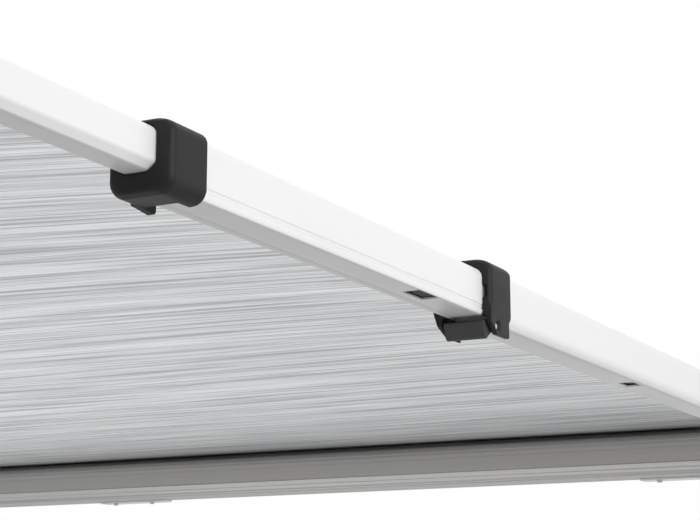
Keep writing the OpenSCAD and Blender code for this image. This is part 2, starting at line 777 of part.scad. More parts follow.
// Collar at the step to the inner profile, with a notch in its floor
step_side = 7.5;
step_floor = 5;
step_top = collar_top - 1.4;
notch_w = 22;
notch_x = -1;
notch_len = 15;
module step_collar() {
  y1 = mid_y1 + step_front_t;
  y0 = y1 - step_collar_len;
  hw = mid_w / 2 + step_side;
  floor_z = mid_z0 - fit - step_floor;
  at_rafter() difference() {
    hull() for (k = front_round) along_y(y0, y1 - k[0]) polygon(whole(
      shell_half(hw - k[1], floor_z + k[1], step_top - k[1] / 2, [12, 12], [14, 12])));
    along_y(y0 - eps, mid_y1 + touch) mid_outline(fit);
    along_y(mid_y1, y1 + eps) inner_outline(collar_gap);
    block([notch_x - notch_w / 2, y0 - eps, floor_z - eps],
      [notch_x + notch_w / 2, y0 + notch_len, mid_z0 + eps]);
  }
}
module right_step_collar() { color(black) step_collar(); }
module left_step_collar() { color(black) mirror([1, 0, 0]) step_collar(); }

// Glide blocks on the back ends of the middle and the inner profile
glide_len = 26;
glide_head = 10;
glide_gap = 0.6;
module mid_glide() {
  at_rafter() {
    along_y(mid_y0 - glide_head, mid_y0 - fit) outer_outline(-outer_t - glide_gap);
    along_y(mid_y0 - 1, mid_y0 + glide_len) mid_outline(-mid_t - fit);
  }
}
module right_mid_glide() { color(black) mid_glide(); }
module left_mid_glide() { color(black) mirror([1, 0, 0]) mid_glide(); }
module inner_glide() {
  at_rafter() {
    along_y(inner_y0 - glide_head, inner_y0 - fit) mid_outline(-mid_t - glide_gap);
    along_y(inner_y0 - 1, inner_y0 + glide_len) inner_outline(-inner_t - fit);
  }
}
module right_inner_glide() { color(black) inner_glide(); }
module left_inner_glide() { color(black) mirror([1, 0, 0]) inner_glide(); }

// Slide catch: a sprung block below the inner profile, pressed up through the slot
catch_z = mid_z0 + mid_t + touch;
catch_t = 4;
catch_over = 6;
rung_w = 3;
rung_pitch = 7;
module slide_catch() {
  at_rafter() {
    block([catch_x0, slot_y - catch_over, catch_z],
      [catch_x1, slot_y + slot_len + catch_over, catch_z + catch_t]);
    for (i = [0:3]) block([catch_x0 + 2, slot_y + 8 + i * rung_pitch, catch_z + catch_t - fit],
      [catch_x1 - 2, slot_y + 8 + i * rung_pitch + rung_w, inner_z0 - catch_press - touch]);
  }
}
module right_slide_catch() { color(black) slide_catch(); }
module left_slide_catch() { color(black) mirror([1, 0, 0]) slide_catch(); }

// Hook: a plug in the front end of the inner profile and a toe with a peg below the lead rail
toe_z1 = -lead_z1 - 0.6;
toe_z0 = toe_z1 - 9;
hook_side = 2;
hook_plug = 34;
peg_w = 24;
peg_gap = 1.2;
module hook() {
  at_rafter() {
    along_y(inner_y1 + fit, inner_y1 + hook_t)
      polygon(whole(shell_half(inner_w / 2 + hook_side, toe_z0, inner_z1, [4, 4], inner_rc)));
    along_y(inner_y1 - hook_plug, inner_y1 + 1) inner_outline(-inner_t - fit);
    block([-inner_w / 2 - hook_side, inner_y1 + 3, toe_z0],
      [inner_w / 2 + hook_side, channel_y + channel_w - peg_gap / 2, toe_z1]);
    block([-peg_w / 2, channel_y + peg_gap, toe_z1 - 1],
      [peg_w / 2, channel_y + channel_w - peg_gap, -lead_z1 + channel_h - 3]);
  }
}
module right_hook() { color(black) hook(); }
module left_hook() { color(black) mirror([1, 0, 0]) hook(); }

// Legs hang from the lead rail: knuckle, outer tube, clamp, inner tube, lever and foot
leg_top = leg_pin_z - 20;
leg_low = leg_top - leg_outer_len;
ground_z = fabric_z - stand_h;
foot_pin_h = 20;
foot_pin_r = 3;
inner_low = ground_z + foot_pin_h - 8;
leg_inner_len = leg_low + leg_overlap - inner_low;
leg_wall_gap = 0.7;
leg_r = 3;
leg_in_r = 2;
knuckle_plug = 36;
knuckle_cap = 4;
leg_inner_w = leg_w - 2 * leg_t - 2 * leg_wall_gap;
leg_inner_d = leg_d - 2 * leg_t - 2 * leg_wall_gap;
module at_leg() { translate([-leg_x, leg_y, 0]) children(); }
module leg_knuckle() {
  at_leg() difference() {
    union() {
      rod_y(-leg_d / 2, leg_d / 2, 0, leg_pin_z, fork_r);
      block([-fork_r, -leg_d / 2, leg_top + 1], [fork_r, leg_d / 2, leg_pin_z]);
      translate([0, 0, leg_top + fit]) linear_extrude(knuckle_cap) round_rect(leg_w, leg_d, leg_r);
      translate([0, 0, leg_top - knuckle_plug]) linear_extrude(knuckle_plug + eps)
        round_rect(leg_w - 2 * leg_t - 2 * fit, leg_d - 2 * leg_t - 2 * fit, leg_in_r);
    }
    rod_y(-leg_d, leg_d, 0, leg_pin_z, leg_pin_r + turn_gap);
  }
}
module right_leg_knuckle() { color(black) leg_knuckle(); }
module left_leg_knuckle() { color(black) mirror([1, 0, 0]) leg_knuckle(); }
module leg_outer() {
  at_leg() translate([0, 0, leg_low]) linear_extrude(leg_outer_len) difference() {
    round_rect(leg_w, leg_d, leg_r);
    round_rect(leg_w - 2 * leg_t, leg_d - 2 * leg_t, leg_in_r);
  }
}
module right_leg_outer() { color(white) leg_outer(); }
module left_leg_outer() { color(white) mirror([1, 0, 0]) leg_outer(); }
module leg_inner() {
  at_leg() difference() {
    translate([0, 0, inner_low]) linear_extrude(leg_inner_len) difference() {
      round_rect(leg_inner_w, leg_inner_d, leg_in_r);
      round_rect(leg_inner_w - 2 * leg_t, leg_inner_d - 2 * leg_t, leg_in_r / 2);
    }
    rod_x(-leg_inner_w, leg_inner_w, 0, ground_z + foot_pin_h, foot_pin_r + turn_gap);
  }
}
module right_leg_inner() { color(bare) leg_inner(); }
module left_leg_inner() { color(bare) mirror([1, 0, 0]) leg_inner(); }
clamp_len = 56;
clamp_wall = 3.5;
clamp_floor = 12;
clamp_r0 = 5;
clamp_y = leg_d / 2 + clamp_wall + 6.5;
clamp_z = leg_low + 6;
ear_x = 10;
ear_t = 5;
ear_r = 5;
ear_h = 16;
toggle_r = 2;
module leg_clamp() {
  at_leg() difference() {
    union() {
      translate([0, 0, leg_low - clamp_floor]) linear_extrude(clamp_len)
        round_rect(leg_w + 2 * clamp_wall, leg_d + 2 * clamp_wall, clamp_r0);
      for (s = [-1, 1]) hull() {
        x = s * ear_x;
        rod_x(x - ear_t / 2, x + ear_t / 2, clamp_y, clamp_z, ear_r);
        block([x - ear_t / 2, leg_d / 2 + 1, clamp_z - ear_h / 2],
          [x + ear_t / 2, leg_d / 2 + clamp_wall, clamp_z + ear_h / 2]);
      }
      rod_x(-ear_x - ear_t / 2, ear_x + ear_t / 2, clamp_y, clamp_z, toggle_r);
    }
    translate([0, 0, leg_low - touch]) linear_extrude(clamp_len)
      round_rect(leg_w + 2 * fit, leg_d + 2 * fit, leg_r);
    translate([0, 0, leg_low - clamp_floor - eps]) linear_extrude(clamp_len)
      round_rect(leg_inner_w + 2 * touch, leg_inner_d + 2 * touch, leg_in_r);
  }
}
module right_leg_clamp() { color(black) leg_clamp(); }
module left_leg_clamp() { color(black) mirror([1, 0, 0]) leg_clamp(); }
toggle_w = 14;
// The lever's side view, as steps out from its pin and up from it
toggle_side = [[-4, 0], [-4, 46], [0, 52], [5, 50], [2, 40], [5, 0]];
module leg_lever() {
  at_leg() difference() {
    union() {
      rod_x(-toggle_w / 2, toggle_w / 2, clamp_y, clamp_z, ear_r);
      along_x(-toggle_w / 2, toggle_w / 2) translate([clamp_y, clamp_z]) polygon(toggle_side);
    }
    rod_x(-toggle_w, toggle_w, clamp_y, clamp_z, toggle_r + turn_gap);
  }
}
module right_leg_lever() { color(black) leg_lever(); }
module left_leg_lever() { color(black) mirror([1, 0, 0]) leg_lever(); }
// The sole is narrow enough to clear the lead rail when the leg is folded up
sole_w = 2 * (-leg_pin_z - lead_z1) - 2;
sole_d = 76;
sole_t = 5;
sole_r = 10;
peg_hole_y = 54;
foot_ear_t = 4.4;
foot_ear_r = 8;
foot_ear_d = 24;
module foot() {
  at_leg() difference() {
    union() {
      translate([0, 0, ground_z]) linear_extrude(sole_t) round_rect(sole_w, sole_d, sole_r);
      for (s = [-1, 1]) hull() {
        x = s * (leg_inner_w + foot_ear_t) / 2 + s * 0.8;
        rod_x(x - foot_ear_t / 2, x + foot_ear_t / 2, 0, ground_z + foot_pin_h, foot_ear_r);
        block([x - foot_ear_t / 2, -foot_ear_d / 2, ground_z + sole_t - 2],
          [x + foot_ear_t / 2, foot_ear_d / 2, ground_z + sole_t - 1]);
      }
      rod_x(-leg_inner_w / 2 - foot_ear_t, leg_inner_w / 2 + foot_ear_t, 0,
        ground_z + foot_pin_h, foot_pin_r);
    }
    for (s = [-1, 1]) translate([0, s * peg_hole_y / 2, ground_z - eps])
      cylinder(h = sole_t + 2 * eps, r = peg_r, $fn = fine);
  }
}
module right_foot() { color(black) foot(); }
module left_foot() { color(black) mirror([1, 0, 0]) foot(); }

case_shell();
case_strip();
case_end_right();
case_end_left();
wall_bracket_right();
wall_bracket_middle();
wall_bracket_left();
clamp_screws();
end_screws();
spring_shaft();
bearing_left();
rafter_bracket_right();
rafter_bracket_left();
rafter_pins();
roller_tube();
roller_plug_right();
roller_plug_left();
roller_spring();
rolled_fabric();
lead_rail();
lead_end_right();
lead_end_left();
leg_pins();
fabric();
right_outer_profile();
right_swivel();
right_mouth_collar();
right_lever_pin();
right_mid_profile();
right_step_collar();
right_mid_glide();
right_inner_profile();
right_inner_glide();
right_hook();
right_lock_lever();
right_slide_catch();
left_outer_profile();
left_swivel();
left_mouth_collar();
left_lever_pin();
left_mid_profile();
left_step_collar();
left_mid_glide();
left_inner_profile();
left_inner_glide();
left_hook();
left_lock_lever();
left_slide_catch();
right_leg_knuckle();
right_leg_outer();
right_leg_clamp();
right_leg_inner();
right_leg_lever();
right_foot();
left_leg_knuckle();
left_leg_outer();
left_leg_clamp();
left_leg_inner();
left_leg_lever();
left_foot();
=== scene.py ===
# %% [markdown]
# # A roll out awning, dressed for its portrait
# This awning is a case on a wall with a roller in it, a cloth, a lead rail, and two rafters that
# slide out of each other and stand on folding legs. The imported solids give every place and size.
# This lesson gives them finer skins and real finishes. Everything is in metres: X runs along the
# wall, Y points away from it and Z is up. The "right" end is the one at negative X.

# %% Load the solids
import json
import math

import bmesh
import bpy
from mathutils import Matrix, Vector


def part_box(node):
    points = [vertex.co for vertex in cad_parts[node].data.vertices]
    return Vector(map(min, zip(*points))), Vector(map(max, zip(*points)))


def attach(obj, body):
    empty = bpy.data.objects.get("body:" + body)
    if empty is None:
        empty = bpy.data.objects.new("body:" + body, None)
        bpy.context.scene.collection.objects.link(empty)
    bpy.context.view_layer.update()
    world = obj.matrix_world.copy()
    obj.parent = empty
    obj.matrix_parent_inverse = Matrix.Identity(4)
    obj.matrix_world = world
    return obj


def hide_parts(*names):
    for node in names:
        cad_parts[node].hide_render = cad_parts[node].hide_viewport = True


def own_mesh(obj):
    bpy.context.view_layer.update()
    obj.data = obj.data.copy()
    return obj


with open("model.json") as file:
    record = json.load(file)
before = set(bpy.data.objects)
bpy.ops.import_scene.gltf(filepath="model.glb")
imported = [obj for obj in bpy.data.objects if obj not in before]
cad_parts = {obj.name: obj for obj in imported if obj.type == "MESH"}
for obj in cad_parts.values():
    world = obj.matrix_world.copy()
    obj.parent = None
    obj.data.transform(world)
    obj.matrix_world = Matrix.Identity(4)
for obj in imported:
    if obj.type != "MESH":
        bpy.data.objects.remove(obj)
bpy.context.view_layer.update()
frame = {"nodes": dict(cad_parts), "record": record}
nodes = frame["nodes"]
record = frame["record"]
bodies = {node: body for body, held in record["behaviour"]["bodies"].items() for node in held}
slots = {part["node"]: part["material_slot"] for part in record["subparts"]}
MM = 0.001

# %% [markdown]
# ## Camera
# The photograph looks up at the right rafter from outside and in front, with the case far behind
# it. The lens and the place come from lines on the rafter whose sizes are known, so nothing is
# shifted. A long lens, about 89 mm on a 36 mm sensor, keeps the case from shrinking too much.

# %% Camera
YAW = math.radians(27.736)
PITCH = math.radians(12.387)
EYE = (-2.1201, 3.0713, -0.3514)
FOCAL_LENGTH = 88.64
SENSOR_WIDTH = 36
FAR_END = 50
level = math.cos(PITCH)
look = Vector((math.sin(YAW) * level, -math.cos(YAW) * level, math.sin(PITCH)))
lens = bpy.data.cameras.new("portrait_lens")
lens.lens = FOCAL_LENGTH
lens.sensor_width = SENSOR_WIDTH
lens.clip_end = FAR_END
camera = bpy.data.objects.new("portrait_camera", lens)
camera.location = EYE
camera.rotation_euler = look.to_track_quat("-Z", "Y").to_euler()
bpy.context.scene.collection.objects.link(camera)
bpy.context.scene.camera = camera
bpy.context.scene.view_settings.view_transform = "Standard"
print("camera looks along", [round(v, 3) for v in look])

# %% [markdown]
# ## Sums on sockets
# A finish is a small net of nodes. It could be drawn by hand in the editor, or linked line by
# line. Written as Python sums it stays readable, so one class wraps a socket, and another makes
# every node from its type, its settings and the values of its sockets.

# %% Socket sums
class Term:
    """A socket that can stand in a sum"""

    def __init__(self, tree, socket):
        self.tree = tree
        self.socket = socket

    def sum_of(self, operation, first, second):
        return self.tree.node("ShaderNodeMath", {"operation": operation}, {0: first, 1: second})

    def __add__(self, other):
        return self.sum_of("ADD", self, other)

    def __radd__(self, other):
        return self.sum_of("ADD", other, self)

    def __sub__(self, other):
        return self.sum_of("SUBTRACT", self, other)

    def __rsub__(self, other):
        return self.sum_of("SUBTRACT", other, self)

    def __mul__(self, other):
        return self.sum_of("MULTIPLY", self, other)

    def __rmul__(self, other):
        return self.sum_of("MULTIPLY", other, self)

    def __truediv__(self, other):
        return self.sum_of("DIVIDE", self, other)

    def __rtruediv__(self, other):
        return self.sum_of("DIVIDE", other, self)


class Net:
    """A node tree that makes each node in one way"""

    def __init__(self, tree):
        self.tree = tree

    def node(self, kind, settings=None, sockets=None, output=0):
        made = self.tree.nodes.new(kind)
        for name, value in (settings or {}).items():
            if name == "stops":
                ramp = made.color_ramp.elements
                while len(ramp) < len(value):
                    ramp.new(1.0)
                for stop, (place, shade) in zip(ramp, value):
                    stop.position = place
                    stop.color = (shade, shade, shade, 1.0)
            else:
                setattr(made, name, value)
        for key, value in (sockets or {}).items():
            if isinstance(value, Term):
                self.tree.links.new(value.socket, made.inputs[key])
            else:
                made.inputs[key].default_value = value
        return Term(self, made.outputs[output])


print("sums and nets are ready")

# %% [markdown]
# ## Finishes
# Each finish is one Principled shader. What varies goes into base colour, roughness, metal and
# bump only, and what is the same all over is set on the shader itself. Noise gives most of the
# variation. It is read from Object coordinates, because every finished piece sits at the origin,
# and a Mapping node says how often it repeats per metre along X, Y and Z. A small number draws it
# out into lines.

# %% The start of a finish
UV_MAP, OBJECT = 2, 3  # outputs of the Texture Coordinate node
FINISHES = {}


class Finish(Net):
    """A material with one Principled shader"""

    def __init__(self, name, **constants):
        self.material = bpy.data.materials.new(name)
        self.material.use_nodes = True
        super().__init__(self.material.node_tree)
        self.shader = self.tree.nodes["Principled BSDF"]
        for socket, value in constants.items():
            self.shader.inputs[socket.replace("_", " ")].default_value = value

    def place(self, scale=(1, 1, 1), source=OBJECT):
        point = self.node("ShaderNodeTexCoord", output=source)
        return self.node("ShaderNodeMapping", {}, {"Vector": point, "Scale": scale})

    def grain(self, place, detail=2.0, rough=0.5):
        """Noise that is read at a place"""
        return self.node("ShaderNodeTexNoise", {}, {
            "Vector": place, "Scale": 1.0, "Detail": detail, "Roughness": rough})

    def pattern(self, scale, detail=2.0):
        """Noise with so many repeats per metre along X, Y and Z"""
        return self.grain(self.place(scale), detail)

    def span(self, value, low, high, start=0.3, end=0.7):
        """Stretches what lies between start and end to low and high"""
        return self.node("ShaderNodeMapRange", {}, {0: value, 1: start, 2: end, 3: low, 4: high})

    def blend(self, share, first, second, kind="MIX"):
        """Mixes two colours, or multiplies them"""
        settings = {"data_type": "RGBA", "blend_type": kind}
        return self.node("ShaderNodeMix", settings, {0: share, 6: first, 7: second}, output=2)

    def bump(self, height, distance, strength):
        return self.node("ShaderNodeBump", {}, {
            "Height": height, "Distance": distance, "Strength": strength})

    def feed(self, **links):
        for socket, term in links.items():
            self.tree.links.new(term.socket, self.shader.inputs[socket.replace("_", " ")])
        return self.material


def grey(value, tint=(1.0, 1.0, 1.0)):
    return (value * tint[0], value * tint[1], value * tint[2], 1.0)


print("a finish can be written")

# %% [markdown]
# ## White powder coat
# Rafters and legs are aluminium with a baked white powder coat. Close up it has a fine orange
# peel, and faint lines from the extrusion die show through along Y. Real powder coat is almost
# plain, so every step stays small. The underside of a rafter is painted darker, as painted shade
# from below. The height above the lowest point of a profile decides that, so each profile gets its
# own coat.

# %% White powder coat
UNDERSIDE_SHADE = 0.62
SHADE_REACH = (0.0008, 0.0016)


def powder_coat(name="white_powder_coat", underside=None):
    f = Finish(name, Specular_IOR_Level=0.5)
    peel = f.pattern((900, 900, 900), detail=1.0)
    drawn = f.pattern((700, 5, 700))
    cloud = f.pattern((9, 4, 9), detail=3.0)
    colour = f.blend(f.span(cloud, 0.0, 1.0), grey(0.79, (1.0, 1.0, 0.995)), grey(0.82))
    if underside is not None:
        # painted shade: the colour is darkened near the underside of the profile
        heights = f.node("ShaderNodeSeparateXYZ", {}, {0: f.place()}, output=2)
        shade_ends = [underside + reach for reach in SHADE_REACH]
        painted_shade = f.span(heights, UNDERSIDE_SHADE, 1.0, *shade_ends)
        colour = f.blend(1.0, colour, painted_shade, "MULTIPLY")
    rough = f.span(cloud, 0.30, 0.40) + f.span(drawn, -0.02, 0.02)
    height = peel * 0.6 + drawn * 0.4
    return f.feed(Base_Color=colour, Roughness=rough, Normal=f.bump(height, 0.00004, 0.35))


FINISHES["white_profile"] = powder_coat()
print("finish:", FINISHES["white_profile"].name)

# %% [markdown]
# ## Black moulded plastic
# Collars, levers and feet are moulded in a tool whose walls are spark eroded, which leaves an even
# fine grain. A low specular level keeps the plastic from looking wet. The lock levers get a lighter
# copy of the same plastic, painted lighter for the light their faces catch from below, so the
# recipe takes its two tones from outside.

# %% Black moulded plastic
def moulded_black(name, low, high):
    f = Finish(name, Specular_IOR_Level=0.2)
    spark = f.pattern((1500, 1500, 1500))
    flow = f.pattern((40, 14, 40), detail=3.0)
    cool, warm = grey(low, (1.0, 1.0, 1.02)), grey(high, (1.0, 0.99, 0.97))
    colour = f.blend(f.span(flow, 0.0, 1.0), cool, warm)
    rough = f.span(flow, 0.46, 0.56) + f.span(spark, -0.04, 0.04)
    return f.feed(Base_Color=colour, Roughness=rough, Normal=f.bump(spark, 0.00006, 0.4))


FINISHES["black_moulding"] = moulded_black("black_moulded_plastic", 0.0115, 0.0155)
# painted light: the levers get a lighter copy of the black plastic
LIGHTER_LEVER_PLASTIC = moulded_black("glass_filled_lever_plastic", 0.042, 0.052)
print("finishes:", FINISHES["black_moulding"].name, LIGHTER_LEVER_PLASTIC.name)

# %% [markdown]
# ## Grey anodised extrusion
# The case and the lead rail run along X, and so do their drawn lines, fine and wide ones together.
# An anodised skin is half metal to the eye: it mirrors a little and keeps a grey of its own, so
# the metallic value stays in the middle. The strip under the case is of the same kind, one shade
# lighter.

# %% Grey anodised extrusion
def anodised_grey():
    f = Finish("grey_anodised_extrusion", Specular_IOR_Level=0.5)
    drawn = f.pattern((2.5, 600, 600), detail=3.0)
    wide = f.pattern((0.8, 90, 90))
    warm = (1.02, 1.0, 0.97)
    tone = f.span(drawn, 0.0, 0.5) + f.span(wide, 0.0, 0.5)
    return f.feed(
        Base_Color=f.blend(tone, grey(0.38, warm), grey(0.44, warm)),
        Roughness=f.span(drawn, 0.36, 0.48),
        Metallic=f.span(wide, 0.50, 0.60),
        Normal=f.bump(drawn, 0.00005, 0.35))


def satin_strip():
    f = Finish("satin_aluminium_strip", Specular_IOR_Level=0.5)
    drawn = f.pattern((3, 700, 700), detail=3.0)
    warm = (1.01, 1.0, 0.98)
    return f.feed(
        Base_Color=f.blend(f.span(drawn, 0.0, 1.0), grey(0.50, warm), grey(0.57, warm)),
        Roughness=f.span(drawn, 0.34, 0.46),
        Metallic=f.span(drawn, 0.55, 0.65),
        Normal=f.bump(drawn, 0.00004, 0.35))


FINISHES["anodised_grey"] = anodised_grey()
STRIP_FINISH = satin_strip()
print("finishes:", FINISHES["anodised_grey"].name, STRIP_FINISH.name)

# %% [markdown]
# ## Bare aluminium and zinc plated steel
# The roller tube, the inner legs and the wall brackets are bare aluminium, with lines from the
# die. Screws, pins and the spring are zinc plated, which is cloudy at the scale of a few
# millimetres. Both are full metals, so the colour is what they mirror, and most of the life comes
# from a roughness that changes from place to place.

# %% Bare aluminium and zinc plated steel
def bare_aluminium():
    f = Finish("mill_finish_aluminium", Metallic=1.0)
    drawn = f.pattern((4, 500, 500), detail=3.0)
    cloud = f.pattern((20, 20, 20))
    return f.feed(
        Base_Color=f.blend(f.span(cloud, 0.0, 1.0), grey(0.62), grey(0.70, (0.99, 1.0, 1.01))),
        Roughness=f.span(drawn, 0.28, 0.42),
        Normal=f.bump(drawn, 0.00004, 0.4))


def zinc_steel():
    f = Finish("zinc_plated_steel", Metallic=1.0)
    bloom = f.pattern((160, 160, 160), detail=3.0)
    fine = f.pattern((1200, 1200, 1200), detail=1.0)
    cool, warm = grey(0.46, (0.98, 1.0, 1.02)), grey(0.58, (1.0, 1.0, 0.98))
    return f.feed(
        Base_Color=f.blend(f.span(bloom, 0.0, 1.0), cool, warm),
        Roughness=f.span(bloom, 0.26, 0.42),
        Normal=f.bump(fine, 0.00003, 0.3))


FINISHES["bare_aluminium"] = bare_aluminium()
FINISHES["zinc_steel"] = zinc_steel()
print("finishes:", FINISHES["bare_aluminium"].name, FINISHES["zinc_steel"].name)

# %% [markdown]
# ## Coated cloth
# The cloth is coated and light grey, with fine darker streaks that run along the rail. The streaks
# follow the sheet, so they are read from its own UV map, in metres, and move with it when it winds
# in. The roller and the rail give a little in the middle, so the streaks bow slightly towards the
# rail. Noises of different width, all stretched along X, give them. A weave of two crossed waves
# gives the surface its bump. Near the case the cloth is painted darker, as painted shade from the
# case and its hood, so the colour is multiplied by a ramp that runs along the sheet.

# %% Coated cloth
SHEET_WIDTH = 2.84
# painted shade: the cloth darkens towards the case
CASE_SHADE = ((0.0, 0.45), (0.104, 0.45), (0.20, 0.61), (0.34, 0.78), (0.52, 0.93), (0.74, 1.0))
BOW = 0.32
BOW_FROM = 0.6
BOW_LONG = 1.85
WEAVE = 260.0


def awning_cloth():
    f = Finish("coated_awning_cloth", Specular_IOR_Level=0.25, Sheen_Weight=0.05)
    own_map = f.place(source=UV_MAP)
    split = f.node("ShaderNodeSeparateXYZ", {}, {0: own_map}).socket.node
    aside, along = (Term(f, split.outputs[axis]) for axis in "XY")
    from_middle = aside / (SHEET_WIDTH / 2)
    near_middle = 1.0 - from_middle * from_middle
    bow = f.span(along, 0.0, BOW, BOW_FROM, BOW_FROM + BOW_LONG) * near_middle
    bowed = along - bow

    def streaks(x, y, **look):
        return f.grain(f.node("ShaderNodeCombineXYZ", {}, {"X": aside * x, "Y": bowed * y}), **look)

    broad = streaks(0.9, 26.0)
    middle = streaks(1.6, 95.0, detail=3.0, rough=0.65)
    fine = streaks(4.5, 330.0, detail=3.0, rough=0.7)
    line = f.span(streaks(3.0, 150.0, detail=1.0), 0.0, 1.0, 0.33, 0.42)
    dark = f.span(middle, 0.0, 1.0, 0.36, 0.52) * f.span(fine, 0.25, 1.0, 0.34, 0.56)
    streak = f.span(broad, 0.04, 0.22) + dark * (0.35 + line * 0.65) * 0.80
    colour = f.blend(streak, grey(0.38, (0.97, 1.0, 1.02)), grey(1.0, (0.985, 1.0, 1.01)))
    # painted shade near the case, along the sheet
    case_shade_ramp = f.node("ShaderNodeValToRGB", {"stops": CASE_SHADE}, {0: along})
    weft, warp = (f.node("ShaderNodeTexWave", {"bands_direction": axis}, {
        "Vector": own_map, "Scale": WEAVE}) for axis in "XY")
    return f.feed(
        Base_Color=f.blend(1.0, colour, case_shade_ramp, "MULTIPLY"),
        Roughness=f.span(fine, 0.62, 0.78),
        Normal=f.bump(weft * warp + fine * 0.5, 0.00012, 0.4))


FINISHES["awning_cloth"] = awning_cloth()
print("finishes:", sorted(FINISHES))

# %% [markdown]
# ## Tools for pieces
# A solid from the pack is loose triangles. A copy of it is merged, carved and smoothed, and then
# stands for the solid. A piece takes its name, finish and body from the solid it stands for.

# %% Make, settle and place a piece
DOUBLES = 0.000002


def new_piece(name, mesh):
    piece = bpy.data.objects.new(name, mesh)
    bpy.context.scene.collection.objects.link(piece)
    return piece


def settle(piece):
    """Turns the modifiers of a piece into plain mesh"""
    graph = bpy.context.evaluated_depsgraph_get()
    mesh = bpy.data.meshes.new_from_object(piece.evaluated_get(graph))
    piece.modifiers.clear()
    piece.data = mesh
    return piece


def merged_copy(node):
    """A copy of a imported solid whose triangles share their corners"""
    mesh = nodes[node].data.copy()
    work = bmesh.new()
    work.from_mesh(mesh)
    bmesh.ops.remove_doubles(work, verts=work.verts, dist=DOUBLES)
    work.to_mesh(mesh)
    work.free()
    return new_piece(node.replace("_", "-"), mesh)


def dress(piece, slot):
    piece.data.materials.clear()
    piece.data.materials.append(FINISHES[slot])


def stand_for(piece, node):
    """Gives a piece the finish, the body and the place of the solid that it replaces"""
    dress(piece, slots[node])
    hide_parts(node)
    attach(piece, bodies[node])
    return piece


def round_shading(piece, angle):
    """Smooth shading that keeps every edge sharper than the angle"""
    piece.data.shade_smooth()
    piece.data.set_sharp_from_angle(angle=math.radians(angle))
    return piece


def smooth_bar(piece):
    """Flat walls stay flat and round corners look round"""
    weigh = round_shading(piece, angle=28).modifiers.new("weigh", "WEIGHTED_NORMAL")
    weigh.keep_sharp = True
    return settle(piece)


print("tools are ready")

# %% [markdown]
# ## Cutters
# Slots, notches and levers are drawn as outlines in millimetres and given a depth. A ring of
# points at each end, a wall between neighbours and two lids make a closed mesh. The same tube
# gives turned pieces, from more rings. Places across a rafter are counted from its middle, inboard
# positive, so one set of numbers serves both ends of the awning.

# %% Outlines, prisms and blocks
SIDES = {"right": -1, "left": 1}
RAFTER_X = 1440
AXES = {"x": (1, 2, 0), "y": (0, 2, 1)}  # where the two numbers of an outline and the depth go


def beside(side, inboard=0):
    """X in millimetres of a place given from the middle of a rafter, inboard positive"""
    return SIDES[side] * (RAFTER_X - inboard)


def across(side, first, second):
    """The two X places of a span across a rafter, the lower one first"""
    return sorted((beside(side, first), beside(side, second)))


def tube(name, rings):
    """A closed mesh: a wall between neighbouring rings of points, and a lid at each end"""
    work = bmesh.new()
    loops = [[work.verts.new(point) for point in ring] for ring in rings]
    work.faces.new(loops[0])
    work.faces.new(loops[-1])
    for near, far in zip(loops, loops[1:]):
        for i in range(len(near)):
            j = (i + 1) % len(near)
            work.faces.new((near[i], near[j], far[j], far[i]))
    bmesh.ops.recalc_face_normals(work, faces=work.faces)
    mesh = bpy.data.meshes.new(name)
    work.to_mesh(mesh)
    work.free()
    return mesh


def prism(outline, axis, start, end):
    """A cutter: an outline in millimetres drawn across one axis, from start to end"""
    rings = []
    for depth in (start, end):
        ring = []
        for point in outline:
            place = [0.0, 0.0, 0.0]
            for where, value in zip(AXES[axis], (*point, depth)):
                place[where] = value * MM
            ring.append(place)
        rings.append(ring)
    return tube("cutter", rings)


def disc(centre, radius, steps=40):
    turns = [2 * math.pi * i / steps for i in range(steps)]
    return [(centre[0] + radius * math.cos(a), centre[1] + radius * math.sin(a)) for a in turns]


def block(side, x_span, y_span, z_span):
    """A square cutter, its X counted from the middle of a rafter"""
    left, right = across(side, *x_span)
    low, high = z_span
    return prism([(left, low), (right, low), (right, high), (left, high)], "y", *y_span)


print("cutters can be made")

# %% [markdown]
# ## Carving and moulding
# Moulded plastic has no sharp edge. A Bevel fails on a carved solid with many small faces, so a
# copy is skinned with small voxels and then relaxed, which rounds every edge by about a
# millimetre, as a mould does. Flat areas need few faces, so the skin is thinned at the end.

# %% Carve and mould
RELAX = 0.5
KEPT_FACES = 0.35


def carve(piece, meshes, operation="DIFFERENCE"):
    """Cuts each mesh out of the piece, or joins it on"""
    helpers = []
    for mesh in meshes:
        helper = new_piece("helper", mesh)
        helpers.append(helper)
        cut = piece.modifiers.new("cut", "BOOLEAN")
        cut.operation = operation
        cut.solver = "EXACT"
        cut.object = helper
    settle(piece)
    for helper in helpers:
        bpy.data.objects.remove(helper)
    return piece


def mould(piece, voxel, rounds, tuck=0.0):
    """Skins and relaxes a piece, and draws its skin in by `tuck` millimetres"""
    skin = piece.modifiers.new("skin", "REMESH")
    skin.mode = "VOXEL"
    skin.voxel_size = voxel * MM
    relax = piece.modifiers.new("relax", "SMOOTH")
    relax.factor = RELAX
    relax.iterations = rounds
    thin = piece.modifiers.new("thin", "DECIMATE")
    thin.ratio = KEPT_FACES
    if tuck:
        draw_in = piece.modifiers.new("draw_in", "DISPLACE")
        draw_in.mid_level = 0.0
        draw_in.strength = -tuck * MM
    settle(piece)
    piece.data.shade_smooth()
    print(f"{piece.name}: {len(piece.data.polygons)} faces")
    return piece


print("carving and moulding are ready")

# %% [markdown]
# ## Extrusions
# The long bars are extruded, so one section runs from end to end. They keep their form and get
# smooth corners. Two small things of the picture are added: the middle profile has a vee groove
# low on each side, which is cut, and the inner profile's inboard lower edge is nearly sharp, so
# the corners of its facet are drawn out one by one.

# %% Groove and edge
MID_ENDS = (990, 2100)
GROOVE = ((20.6, -36.6), (18.75, -33.9), (20.6, -31.3))
NEAR = 0.1
